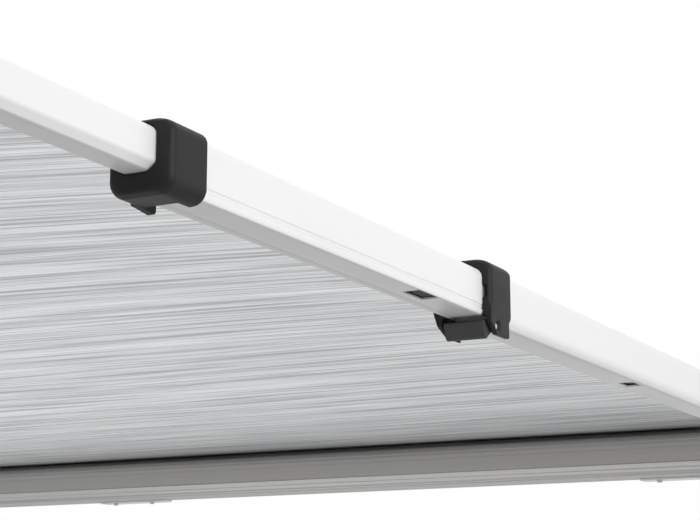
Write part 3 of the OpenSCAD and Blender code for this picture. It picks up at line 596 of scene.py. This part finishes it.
# Corners of the inboard facet, from the wall and from the underside, and where each one goes
FACET = (
    ((9.6, 0.0), (5.0, 0.0)), ((7.6, 0.4), (1.5, 0.0)), ((1.2, 5.2), (0.6, 0.3)),
    ((0.3, 6.4), (0.15, 0.8)), ((0.0, 7.8), (0.0, 1.6)))


def grooved(piece, side):
    """Cuts a vee groove into both sides of the middle profile"""
    vees = [[(beside(side, sign * x), z) for x, z in GROOVE] for sign in (-1, 1)]
    return carve(piece, [prism(vee, "y", *MID_ENDS) for vee in vees])


def sharp_edge(piece, side, low):
    """Draws the inboard facet of the inner profile out to a nearly sharp lower edge"""
    wall = max(abs(corner.co.x / MM - beside(side)) for corner in piece.data.vertices)
    moved = 0
    for corner in piece.data.vertices:
        inset = wall - (beside(side) - corner.co.x / MM) * SIDES[side]
        height = corner.co.z / MM - low
        for (was_in, was_up), (now_in, now_up) in FACET:
            if abs(inset - was_in) < NEAR and abs(height - was_up) < NEAR:
                corner.co.x = beside(side, wall - now_in) * MM
                corner.co.z = (low + now_up) * MM
                moved += 1
                break
    print(f"{piece.name}: {moved} corners moved")
    return piece


print("groove:", GROOVE, "facet corners:", len(FACET))

# %% All the bars
for node in ("case_shell", "case_strip", "lead_rail"):
    bar = stand_for(smooth_bar(merged_copy(node)), node)
    if node == "case_strip":
        bar.data.materials[0] = STRIP_FINISH
for side in SIDES:
    for part in ("outer_profile", "mid_profile", "inner_profile", "leg_outer", "leg_inner"):
        node = f"{side}_{part}"
        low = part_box(node)[0][2]
        bar = merged_copy(node)
        if part == "mid_profile":
            grooved(bar, side)
        elif part == "inner_profile":
            sharp_edge(bar, side, low / MM)
        stand_for(smooth_bar(bar), node)
        if part.endswith("_profile"):
            # each profile gets a coat with painted shade on its underside
            bar.data.materials[0] = powder_coat(f"white_coat_{node}", low)
print("extrusions are smooth")

# %% [markdown]
# ## Mouth collars
# The mouth collar closes the outer profile and carries the lock lever between two lugs. In the
# picture a hole goes right through the lug, with a shallow ring sunk round it, and those are in
# the solid. A small slot in the front wall, a well rounded back edge of the roof and a floor that
# is open above the lever are carved here, before the skin goes on, so that their edges are
# softened too.

# %% Mouth collars
MOUTH_BACK = 1485
MOUTH_FRONT = 1537
MOUTH_TOP = 13.8
BACK_ROUND = 9
ARC_STEPS = 12
BEHIND, ABOVE = 2, 8  # how far the cutter of the back edge reaches past the collar
COLLAR_SPAN = (-31.0, 36.0)
LUG_IN = 23.4
# X from the middle of the rafter, Y and Z of what is cut out
FRONT_SLOT = ((-25.0, -19.8), (1531, 1540), (-22.5, -10.5))
OPEN_FLOOR = ((-LUG_IN, LUG_IN), (1514, MOUTH_FRONT + 2), (-59, -40.9))


def back_edge(side):
    """What lies outside the rounded back edge of the roof"""
    y, z = MOUTH_BACK + BACK_ROUND, MOUTH_TOP - BACK_ROUND
    turns = [math.pi - i * math.pi / (2 * ARC_STEPS) for i in range(ARC_STEPS + 1)]
    arc = [(y + BACK_ROUND * math.cos(a), z + BACK_ROUND * math.sin(a)) for a in turns]
    behind, above = MOUTH_BACK - BEHIND, MOUTH_TOP + ABOVE
    return prism([(behind, z), *arc, (y, above), (behind, above)], "x", *across(side, *COLLAR_SPAN))


for side in SIDES:
    node = f"{side}_mouth_collar"
    cutters = [block(side, *FRONT_SLOT), back_edge(side), block(side, *OPEN_FLOOR)]
    stand_for(mould(carve(merged_copy(node), cutters), voxel=0.8, rounds=5), node)

# %% [markdown]
# ## Step collars
# The step collar guides the inner profile out of the middle one. Its roof lies close on the
# profile, its floor has a notch at the back with a small tongue beside it, and its front wall
# leaves room for the sharp edge of the inner profile. Moving a few corners lowers the roof; a cut
# could not keep it round.

# %% Step collars
ROOF_FROM = -5.0
ROOF_SHARE = 0.85
SKIN_X, SKIN_Z = 22.0, 8.9  # corners beyond these belong to the outer skin
NOTCH = ((9.0, 16.0), (2051, 2067), (-48, -40.9))
EDGE_ROOM = ((4.0, 14.1), (2088, 2101), (-29.5, -21.3))
TONGUE_SPAN = (16.2, 23.0)
TONGUE = (
    (2052.2, -45.2), (2052.2, -47.4), (2054.0, -48.6), (2068, -46.9), (2076, -46.2), (2076, -45.2))


def lowered_roof(piece, side):
    """Draws the outer skin of a collar's roof down on to the profile"""
    for corner in piece.data.vertices:
        aside = abs(corner.co.x / MM - beside(side))
        height = corner.co.z / MM
        if height > ROOF_FROM and (aside > SKIN_X or height > SKIN_Z):
            corner.co.z = (ROOF_FROM + (height - ROOF_FROM) * ROOF_SHARE) * MM
    return piece


for side in SIDES:
    node = f"{side}_step_collar"
    collar = lowered_roof(merged_copy(node), side)
    carve(collar, [block(side, *NOTCH), block(side, *EDGE_ROOM)])
    carve(collar, [prism(TONGUE, "x", *across(side, *TONGUE_SPAN))], "UNION")
    stand_for(mould(collar, voxel=0.7, rounds=5), node)

# %% [markdown]
# ## Lock levers
# The lever pinches the profile when it is shut. It is a flap whose face leans back a little, drawn
# as one outline, and joined to the barrel that turns on the pin. Drawing it anew is easier than
# carving the plain solid, and both stay inside the same box.

# %% Lock levers
LEVER = (1519, -50)
BARREL_R = 5.5
PIN_R = 3.9
BORE_PLAY = 0.4
BORE_SPAN = (-31.0, 31.0)
FLAP_SPAN = (-22.6, 20.0)
FLAP = (
    (0, 5.4), (21, 3.6), (23, 2), (18, -9.6), (17, -12.6), (13, -14), (9, -11), (3, -7), (-4, -4))

for side in SIDES:
    node = f"{side}_lock_lever"
    barrel = prism(disc(LEVER, BARREL_R), "x", *across(side, -LUG_IN, LUG_IN))
    flap = [(LEVER[0] + y, LEVER[1] + z) for y, z in FLAP]
    bore = prism(disc(LEVER, PIN_R + BORE_PLAY), "x", *across(side, *BORE_SPAN))
    lever = new_piece(f"{side}-lock-lever", barrel)
    carve(lever, [prism(flap, "x", *across(side, *FLAP_SPAN))], "UNION")
    stand_for(mould(carve(lever, [bore]), voxel=0.7, rounds=4), node)
    # painted light: a lighter copy of the black plastic
    lever.data.materials[0] = LIGHTER_LEVER_PLASTIC

# %% [markdown]
# ## Lever pins
# The pin is turned on a lathe, with domed ends. So is the mesh: pairs of a place along X and a
# radius are spun round the line of the pin.

# %% Lever pins
LATHE_STEPS = 32
PIN_END = ((27.6, 1.4), (27.4, 2.6), (26.8, 3.5), (26.0, PIN_R))


def turned(name, stations, centre):
    """A piece made on a lathe: pairs of X and radius, spun round a line along X"""
    rings = [[(x * MM, y * MM, z * MM) for y, z in disc(centre, radius, LATHE_STEPS)]
             for x, radius in stations]
    return new_piece(name, tube(name, rings))


stations = [(-x, radius) for x, radius in PIN_END] + [(x, radius) for x, radius in PIN_END[::-1]]
for side in SIDES:
    placed = [(beside(side) + x, radius) for x, radius in stations]
    pin = turned(f"{side}-lever-pin", placed, LEVER)
    pin.data.shade_smooth()
    stand_for(pin, f"{side}_lever_pin")
print("lever pins:", len(stations), "stations each")

# %% [markdown]
# ## The other mouldings
# Hooks, catches, leg joints, feet, brackets and end caps keep the form of their solids, and only
# need the soft edges of a moulding. Bigger parts take bigger voxels. The leg clamp and its lever
# turn close beside each other, so their skins are drawn in a little.

# %% The other mouldings
# Voxel in millimetres and rounds of smoothing
SKINS = {
    "{}_hook": (0.8, 5), "{}_slide_catch": (0.8, 5), "{}_swivel": (1.0, 4),
    "{}_leg_knuckle": (1.0, 4), "{}_leg_clamp": (1.0, 4), "{}_leg_lever": (1.0, 4),
    "{}_foot": (1.0, 4), "rafter_bracket_{}": (1.0, 4), "lead_end_{}": (1.0, 4),
    "case_end_{}": (1.2, 4)}
TUCKED = {"{}_leg_lever": 0.35, "{}_leg_clamp": 0.15}

for side in SIDES:
    for pattern, skin in SKINS.items():
        node = pattern.format(side)
        stand_for(mould(merged_copy(node), *skin, tuck=TUCKED.get(pattern, 0.0)), node)

# %% [markdown]
# ## Rules
# What repeats or follows a rule is made by Geometry Nodes. One class starts such a tree with its
# named inputs, adds the nodes that this part needs often, and ends it in Realize Instances and Set
# Material. The inputs are set by their identifiers, before the piece is first evaluated.

# %% Geometry Nodes helper
class Rule(Net):
    """A geometry tree with named inputs"""

    def __init__(self, name, **inputs):
        group = bpy.data.node_groups.new(name, "GeometryNodeTree")
        super().__init__(group)
        self.add_socket("Geometry", "OUTPUT", "NodeSocketGeometry")
        self.add_socket("Points", "INPUT", "NodeSocketGeometry")
        self.sizes = [(self.add_socket(label, "INPUT", "NodeSocketFloat"), value)
                      for label, value in inputs.items()]
        self.entry = group.nodes.new("NodeGroupInput")
        self.exit = group.nodes.new("NodeGroupOutput")

    def add_socket(self, label, way, kind):
        return self.tree.interface.new_socket(label, in_out=way, socket_type=kind)

    def __getitem__(self, label):
        return Term(self, self.entry.outputs[label])

    def vector(self, x=0.0, y=0.0, z=0.0):
        return self.node("ShaderNodeCombineXYZ", {}, {"X": x, "Y": y, "Z": z})

    def of(self, operation, value):
        return self.node("ShaderNodeMath", {"operation": operation}, {0: value})

    def place_of(self):
        """The X and Y of each point as two terms"""
        parts = self.node("ShaderNodeSeparateXYZ", {}, {0: self.node("GeometryNodeInputPosition")})
        return [Term(self, parts.socket.node.outputs[axis]) for axis in "XY"]

    def moved(self, geometry, x=0.0, y=0.0, z=0.0):
        return self.node("GeometryNodeTransform", {}, {
            "Geometry": geometry, "Translation": self.vector(x, y, z)})

    def grid(self, width, length, columns, rows):
        return self.node("GeometryNodeMeshGrid", {}, {
            "Size X": width, "Size Y": length, "Vertices X": columns, "Vertices Y": rows})

    def cylinder(self, corners, radius, depth, z):
        made = self.node("GeometryNodeMeshCylinder", {}, {
            "Vertices": corners, "Radius": radius, "Depth": depth})
        return self.moved(made, z=z)

    def swept(self, line, corners, radius):
        """A circle swept along a line, with closed ends"""
        ring = self.node("GeometryNodeCurvePrimitiveCircle", {}, {
            "Resolution": corners, "Radius": radius})
        return self.node("GeometryNodeCurveToMesh", {}, {
            "Curve": line, "Profile Curve": ring, "Fill Caps": True})

    def on_points(self, points, shape, **more):
        return self.node("GeometryNodeInstanceOnPoints", {}, {
            "Points": points, "Instance": shape, **more})

    def gathered(self, made, entry, shapes):
        """Links many shapes to one socket of a node"""
        for shape in shapes:
            self.tree.links.new(shape.socket, made.socket.node.inputs[entry])
        return made

    def joined(self, *shapes):
        return self.gathered(self.node("GeometryNodeJoinGeometry"), 0, shapes)

    def boolean(self, operation, shapes, first=None):
        settings = {"operation": operation, "solver": "MANIFOLD"}
        inputs = {} if first is None else {0: first}
        return self.gathered(self.node("GeometryNodeMeshBoolean", settings, inputs), 1, shapes)

    def with_map(self, geometry, along=None):
        """Stores a UV map: the place of each corner, or another vector"""
        if along is None:
            along = self.node("GeometryNodeInputPosition")
        settings = {"data_type": "FLOAT2", "domain": "CORNER"}
        return self.node("GeometryNodeStoreNamedAttribute", settings, {
            "Geometry": geometry, "Name": "UVMap", "Value": along})

    def piece(self, name, geometry, slot, points=()):
        """Ends the tree and returns the piece that it shapes"""
        real = self.node("GeometryNodeRealizeInstances", {}, {"Geometry": geometry})
        done = self.node("GeometryNodeSetMaterial", {}, {
            "Geometry": real, "Material": FINISHES[slot]})
        self.tree.links.new(done.socket, self.exit.inputs[0])
        base = bpy.data.meshes.new(name)
        base.from_pydata(list(points), [], [])
        made = new_piece(name, base)
        modifier = made.modifiers.new("rule", "NODES")
        modifier.node_group = self.tree
        for socket, value in self.sizes:
            modifier[socket.identifier] = value
        return made


print("rules can be written")

# %% [markdown]
# ## The awning sheet
# The sheet is stretched from the roller to the lead rail and sags a little between them. It could
# be draped by Cloth simulation, but a stretched sheet follows a plain rule, so Geometry Nodes make
# it: a grid whose points drop by a half wave along Y, and by less towards the rafters. Each corner
# stores its own place as a UV map, which the cloth finish reads. Solidify gives it its half
# millimetre.

# %% The sheet
SHEET_FRONT = 2.448
SHEET_BACK = 0.057
SHEET_Z = 0.016
CLOTH = 0.0005
HOOD_Y = 0.11
HEM_FROM = 2.40
SAG_EDGES = (0.55, 1.37)  # full sag inside the first distance from the middle, none past the second


def thicken(piece):
    body = piece.modifiers.new("body", "SOLIDIFY")
    body.thickness = CLOTH
    body.offset = 0.0
    return settle(piece)


rule = Rule("stretched_sheet", Width=SHEET_WIDTH, Back=SHEET_BACK, Front=SHEET_FRONT, Sag=0.007)
grid = rule.grid(rule["Width"], rule["Front"] - rule["Back"], columns=190, rows=160)
laid = rule.moved(grid, 0.0, (rule["Front"] + rule["Back"]) / 2.0, SHEET_Z)
aside, along = rule.place_of()
share = rule.node("ShaderNodeMapRange", {}, {0: along, 1: HOOD_Y, 2: HEM_FROM, 3: 0.0, 4: math.pi})
inner = rule.node("ShaderNodeMapRange", {"interpolation_type": "SMOOTHSTEP"}, {
    0: rule.of("ABSOLUTE", aside), 1: SAG_EDGES[0], 2: SAG_EDGES[1], 3: 1.0, 4: 0.0})
fall = rule.of("SINE", share) * inner * rule["Sag"] * -1.0
dropped = rule.node("GeometryNodeSetPosition", {}, {
    "Geometry": laid, "Offset": rule.vector(z=fall)})
sheet = thicken(rule.piece("awning-sheet", rule.with_map(dropped), "awning_cloth"))
sheet.data.shade_smooth()
print("sheet:", len(sheet.data.polygons), "faces")

# %% [markdown]
# ## Hems
# The side edges and the front edge of the cloth are folded under. The folded strips are flat grids
# just below the sheet, joined in one tree, and they keep the same map, so the streaks run on.

# %% Hems
HEM_WIDE = 0.025
HEM_Z = SHEET_Z - 1.3 * CLOTH
HEM_GRID = 9
HEM_INSET = 0.0005
HEM_PART = 0.001  # between the front hem and each side hem
HEM_ENDS = (HOOD_Y, SHEET_FRONT - 0.012)

rule = Rule("folded_hems", Wide=HEM_WIDE, Half_Width=SHEET_WIDTH / 2)


def folded(width, length, x, y):
    return rule.moved(rule.grid(width, length, HEM_GRID, HEM_GRID), x, y, HEM_Z)


side_x = rule["Half_Width"] - rule["Wide"] / 2.0 - HEM_INSET
inner_width = (rule["Half_Width"] - rule["Wide"] - HEM_PART) * 2.0
side_long, middle_y = HEM_ENDS[1] - HEM_ENDS[0], sum(HEM_ENDS) / 2
strips = [folded(rule["Wide"], side_long, side_x * sign, middle_y) for sign in (-1.0, 1.0)]
strips.append(folded(inner_width, HEM_ENDS[1] - HEM_FROM, 0.0, (HEM_FROM + HEM_ENDS[1]) / 2))
hems = thicken(rule.piece("folded-hems", rule.with_map(rule.joined(*strips)), "awning_cloth"))
print("hems:", len(hems.data.polygons), "faces")

# %% [markdown]
# ## Stitches
# Each hem is sewn with two rows of thread. A row is a line of points, and one small bead stands on
# every point, stretched along the row. There are thousands, so a bead has only a few faces. The
# thread is grey and dull, with a twist that shows as noise.

# %% Stitches
SEAM_IN = 0.004
ROW_SHORT = 0.002
seam_z = HEM_Z - CLOTH / 2


def sewing_thread():
    f = Finish("grey_sewing_thread", Specular_IOR_Level=0.3)
    twist = f.pattern((900, 300, 900))
    colour = f.blend(f.span(twist, 0.0, 1.0), grey(0.22), grey(0.36))
    return f.feed(Base_Color=colour, Roughness=f.span(twist, 0.6, 0.8))


rule = Rule("hem_stitches", Pitch=0.006, Long=0.0019, Thick=0.0004)
bead = rule.node("GeometryNodeMeshUVSphere", {}, {"Segments": 6, "Rings": 3, "Radius": 1.0})


def row(start, end, *size):
    """Stitches from start to end, as long and thick as the named inputs say"""
    reach = Vector((*end, seam_z)) - Vector((*start, seam_z))
    step = reach.normalized()
    line = rule.node("GeometryNodeMeshLine", {}, {
        "Count": rule.of("FLOOR", reach.length / rule["Pitch"]),
        "Start Location": (*start, seam_z),
        "Offset": rule.vector(rule["Pitch"] * step.x, rule["Pitch"] * step.y)})
    scale = rule.vector(*(rule[label] for label in size))
    stitch = rule.node("GeometryNodeTransform", {}, {"Geometry": bead, "Scale": scale})
    return rule.on_points(line, stitch)


rows = []
half = SHEET_WIDTH / 2
for sign in (-1, 1):
    for x in (half - SEAM_IN, half - HEM_WIDE + SEAM_IN):
        ends = [(sign * x, y) for y in HEM_ENDS]
        rows.append(row(*ends, "Thick", "Long", "Thick"))
for y in (HEM_FROM + SEAM_IN, HEM_FROM + 2.5 * SEAM_IN):
    x = half - HEM_WIDE - ROW_SHORT
    rows.append(row((-x, y), (x, y), "Long", "Thick", "Thick"))
stitches = settle(rule.piece("hem-stitches", rule.joined(*rows), "awning_cloth"))
stitches.data.materials.clear()
stitches.data.materials.append(sewing_thread())
print("hem stitches:", len(stitches.data.polygons), "faces")

# %% [markdown]
# ## The sheet rides on the case
# The sheet, the hems and the stitches ride on the case, each with a mesh of its own. The roller
# keeps a turn and a half of cloth at all times.

# %% Place the sheet
for piece in (sheet, hems, stitches):
    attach(piece, "case")
    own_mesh(piece)
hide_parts("fabric")

# %% [markdown]
# ## Cloth on the roller
# Fabric that is wound up is a spiral. A grid is bent by a rule: its long side becomes the angle
# round the roller, and the radius shrinks by a little more than one thickness of cloth with each
# turn.

# %% The wound turns
ROLLER = (0.056, -0.020)
TURNS = 1.5
OUTER_TURN = 0.0356
TURN_PITCH = 0.00053

rule = Rule("wound_cloth", Width=SHEET_WIDTH, Turns=TURNS, Outer=OUTER_TURN, Pitch=TURN_PITCH)
grid = rule.grid(rule["Width"], 1.0, columns=3, rows=200)
aside, along = rule.place_of()
back = (0.5 - along) * rule["Turns"]
mapped = rule.with_map(grid, rule.vector(aside, SHEET_BACK - back * (2 * math.pi * OUTER_TURN)))
angle = back * (2 * math.pi) + math.pi / 2
radius = rule["Outer"] - back * rule["Pitch"]
spot = rule.vector(aside, ROLLER[0] + radius * rule.of("COSINE", angle),
                   ROLLER[1] + radius * rule.of("SINE", angle))
bent = rule.node("GeometryNodeSetPosition", {}, {"Geometry": mapped, "Position": spot})
wound = round_shading(thicken(rule.piece("wound-cloth", bent, "awning_cloth")), angle=40)
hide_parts("rolled_fabric")
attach(wound, "roller")
print("wound cloth:", len(wound.data.polygons), "faces")

# %% [markdown]
# ## Keder
# The front edge of the cloth ends in a round keder, a cord in a sleeve, that slides into the
# groove of the lead rail. It is a circle swept along a straight line.

# %% Keder
rule = Rule("keder_in_its_sleeve", Half_Width=half, Radius=0.0031)
line = rule.node("GeometryNodeCurvePrimitiveLine", {}, {
    "Start": rule.vector(rule["Half_Width"] * -1.0, SHEET_FRONT, SHEET_Z),
    "End": rule.vector(rule["Half_Width"], SHEET_FRONT, SHEET_Z)})
swept = rule.with_map(rule.swept(line, corners=20, radius=rule["Radius"]))
keder = round_shading(settle(rule.piece("keder", swept, "awning_cloth")), angle=40)
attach(keder, "lead")
print("keder:", len(keder.data.polygons), "faces")

# %% [markdown]
# ## Torsion spring
# Inside the roller a spring winds itself up as the awning is pulled out, and pulls the cloth back
# in. It is a round wire swept along a spiral with one radius, laid down along X, inside the box
# that its solid gives.

# %% Torsion spring
SPRING_TURNS = 140.0
SPRING_PLAY = 0.002
WIRE_R = 0.0016

low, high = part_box("roller_spring")
rule = Rule("torsion_spring", Start=low[0] + SPRING_PLAY, Long=high[0] - low[0] - 2 * SPRING_PLAY,
            Radius=0.0122, Wire=WIRE_R)
coil = rule.node("GeometryNodeCurveSpiral", {}, {
    "Resolution": 16, "Rotations": SPRING_TURNS, "Start Radius": rule["Radius"],
    "End Radius": rule["Radius"], "Height": rule["Long"]})
laid = rule.node("GeometryNodeTransform", {}, {
    "Geometry": rule.swept(coil, corners=7, radius=rule["Wire"]),
    "Rotation": (0.0, math.pi / 2, 0.0),
    "Translation": rule.vector(rule["Start"], *ROLLER)})
spring = round_shading(settle(rule.piece("torsion-spring", laid, "zinc_steel")), angle=60)
stand_for(spring, "roller_spring")
print("spring:", len(spring.data.polygons), "faces")

# %% [markdown]
# ## Pan head screws
# The end plates and the rafter brackets are held by pan head screws with a cross recess. A rule
# makes one head, a disc and a cone joined and two bars cut out, and sets it on every point. The
# disc and the cone share a face, which the Exact solver can leave open, so these booleans use the
# Manifold solver. Points on the end plates face outwards along X, so the turn of each head comes
# from the sign of its X.

# %% Screw rules
HEAD_CORNERS = 24
STEM_CORNERS = 12


def screw_head(rule):
    """A pan head with a cross recess, its underside at the origin and its top up"""
    radius, tall, long = rule["Head"], rule["Tall"], rule["Long"]
    base = rule.cylinder(HEAD_CORNERS, radius, tall * 0.6, tall * 0.3)
    dome = rule.moved(rule.node("GeometryNodeMeshCone", {}, {
        "Vertices": HEAD_CORNERS, "Radius Top": radius * 0.74, "Radius Bottom": radius,
        "Depth": tall * 0.4}), z=tall * 0.6)
    stem = rule.cylinder(STEM_CORNERS, rule["Shank"], long, long * -0.5)
    wide, thin = radius * 1.15, radius * 0.24
    bars = [rule.moved(rule.node("GeometryNodeMeshCube", {}, {"Size": rule.vector(*size)}), z=tall)
            for size in ((wide, thin, tall), (thin, wide, tall))]
    solid = rule.boolean("UNION", (base, dome))
    return rule.joined(rule.boolean("DIFFERENCE", bars, solid), stem)


def set_screws(name, points, turn, **sizes):
    """Sets a screw on every point, turned by what `turn` makes of the sign of its X"""
    rule = Rule(name.replace("-", "_"), **sizes)
    facing = rule.vector(*turn(rule.of("SIGN", rule.place_of()[0])))
    placed = rule.on_points(rule["Points"], screw_head(rule), Rotation=facing)
    made = settle(rule.piece(name, placed, "zinc_steel", points))
    print(f"{name}: {len(points)} screws, {len(made.data.polygons)} faces")
    return made


print("a screw head has", HEAD_CORNERS, "corners")

# %% Screws on the end plates and the rafter brackets
QUARTER_TURN = math.pi / 2
PLATE_X = 1497.2
PLATE_HOLES = ((12.6, -62.4), (92.4, -62.4), (12.6, 62.4), (60.0, 62.4))
BRACKET_HOLES = (-19, 19)
BRACKET_Y, BRACKET_Z = 0.1111, -0.037

points = [(side * PLATE_X * MM, y * MM, z * MM) for side in (-1, 1) for y, z in PLATE_HOLES]
plate_screws = set_screws("end-plate-screws", points, lambda side: (0.0, side * QUARTER_TURN, 0.0),
                          Head=0.0041, Tall=0.0024, Shank=0.0019, Long=0.021)
stand_for(plate_screws, "end_screws")

points = [(side * (RAFTER_X + x) * MM, BRACKET_Y, BRACKET_Z)
          for side in (-1, 1) for x in BRACKET_HOLES]
bracket_screws = set_screws("rafter-bracket-screws", points, lambda side: (-QUARTER_TURN, 0.0, 0.0),
                            Head=0.0042, Tall=0.0024, Shank=0.0019, Long=0.012)
dress(bracket_screws, "zinc_steel")
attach(bracket_screws, "case")

# %% [markdown]
# ## Clamp screws
# The case hangs in wall brackets, and a pair of screws from below clamps it in each. They have a
# hexagon head with a collar under it. The places come from the boxes of the brackets, and the
# length from the box of the solid.

# %% Clamp screws
CLAMP_APART = 0.046
HEX_TALL = 0.0033
COLLAR_R, COLLAR_TALL, COLLAR_Z = 0.0049, 0.0007, 0.00345
STEM_FROM = 0.0035

brackets = [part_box(f"wall_bracket_{name}") for name in ("right", "middle", "left")]
bracket_x = [(low[0] + high[0]) / 2 for low, high in brackets]
low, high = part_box("clamp_screws")
points = [(x + offset, (low[1] + high[1]) / 2, low[2])
          for x in bracket_x for offset in (-CLAMP_APART, CLAMP_APART)]
rule = Rule("clamp_screws", Flat=0.0048, Shank=0.0024, Tall=high[2] - low[2])
hexagon = rule.cylinder(6, rule["Flat"], HEX_TALL, HEX_TALL / 2)
collar = rule.cylinder(24, COLLAR_R, COLLAR_TALL, COLLAR_Z)
stem = rule.cylinder(16, rule["Shank"], rule["Tall"] - STEM_FROM, (rule["Tall"] + STEM_FROM) / 2.0)
placed = rule.on_points(rule["Points"], rule.joined(hexagon, collar, stem))
clamps = settle(rule.piece("clamp-screws", placed, "zinc_steel", points))
stand_for(clamps, "clamp_screws")
print("clamp screws:", len(clamps.data.polygons), "faces")

# %% [markdown]
# ## Solids that stay
# The other solids have the right shape already. Only their finish changes, in the material slot of
# the object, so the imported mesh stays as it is.

# %% Finishes for the solids that stay as they are
for node, solid in nodes.items():
    for part in solid.material_slots:
        part.link = "OBJECT"
        part.material = FINISHES[slots[node]]
print("solids that stay:", sum(not solid.hide_render for solid in nodes.values()))

# %% [markdown]
# ## Floor
# The floor is plain and pale, at the height of the feet. It is staged, so it is no part of the
# object.

# %% Floor
FLOOR_X, FLOOR_BACK, FLOOR_FRONT = 9, -6, 10

floor_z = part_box("right_foot")[0][2]
corners = [(-FLOOR_X, FLOOR_BACK), (FLOOR_X, FLOOR_BACK),
           (FLOOR_X, FLOOR_FRONT), (-FLOOR_X, FLOOR_FRONT)]
floor_mesh = bpy.data.meshes.new("studio_floor")
floor_mesh.from_pydata([(x, y, floor_z) for x, y in corners], [], [(0, 1, 2, 3)])
floor = new_piece("studio_floor", floor_mesh)
pale = Finish("pale_floor", Roughness=0.9)
speck = pale.pattern((3, 3, 3), detail=3.0)
colour = pale.blend(pale.span(speck, 0.0, 1.0), grey(0.80), grey(0.84))
floor_mesh.materials.append(pale.feed(Base_Color=colour))
print("floor at", round(floor_z, 3))

# %% [markdown]
# ## World and lamps
# A pale world lights from all sides, and is plain white where the camera, gloss or glass looks
# straight at it. Three large soft lamps add a gentle direction: one outside the right rafter, one
# low in front, which reaches the underside, and one above.

# %% World and lamps
WORLD_LIGHT = 0.55
# Place, aim, width in metres and power in watts
LAMPS = {
    "side_lamp": ((-5.0, 2.3, 0.9), (-1.4, 1.3, 0.0), 2.5, 82),
    "low_lamp": ((0.7, 1.9, -1.9), (0.2, 1.5, 0.0), 1.8, 17),
    "top_lamp": ((0.6, 3.0, 4.0), (0.0, 1.2, 0.0), 3.0, 90)}

world = bpy.data.worlds.new("studio_world")
bpy.context.scene.world = world
world.use_nodes = True
world.node_tree.nodes.clear()
sky = Net(world.node_tree)
rays = sky.node("ShaderNodeLightPath").socket.node
camera_ray, gloss_ray, glass_ray = (
    Term(sky, rays.outputs[f"Is {kind} Ray"]) for kind in ("Camera", "Glossy", "Transmission"))
direct = sky.node("ShaderNodeMath", {"operation": "MAXIMUM"}, {0: camera_ray, 1: gloss_ray})
direct = sky.node("ShaderNodeMath", {"operation": "MAXIMUM"}, {0: direct, 1: glass_ray})
soft, plain = (sky.node("ShaderNodeBackground", {}, {"Color": grey(1.0), "Strength": strength})
               for strength in (WORLD_LIGHT, 1.0))
mixed = sky.node("ShaderNodeMixShader", {}, {0: direct, 1: soft, 2: plain})
out = world.node_tree.nodes.new("ShaderNodeOutputWorld")
world.node_tree.links.new(mixed.socket, out.inputs["Surface"])

for name, (place, aim, width, power) in LAMPS.items():
    light = bpy.data.lights.new(name, "AREA")
    light.shape = "DISK"
    light.size = width
    light.energy = power
    lamp = bpy.data.objects.new(name, light)
    lamp.location = place
    lamp.rotation_euler = (Vector(aim) - Vector(place)).to_track_quat("-Z", "Y").to_euler()
    bpy.context.scene.collection.objects.link(lamp)
print("lamps:", sorted(LAMPS))
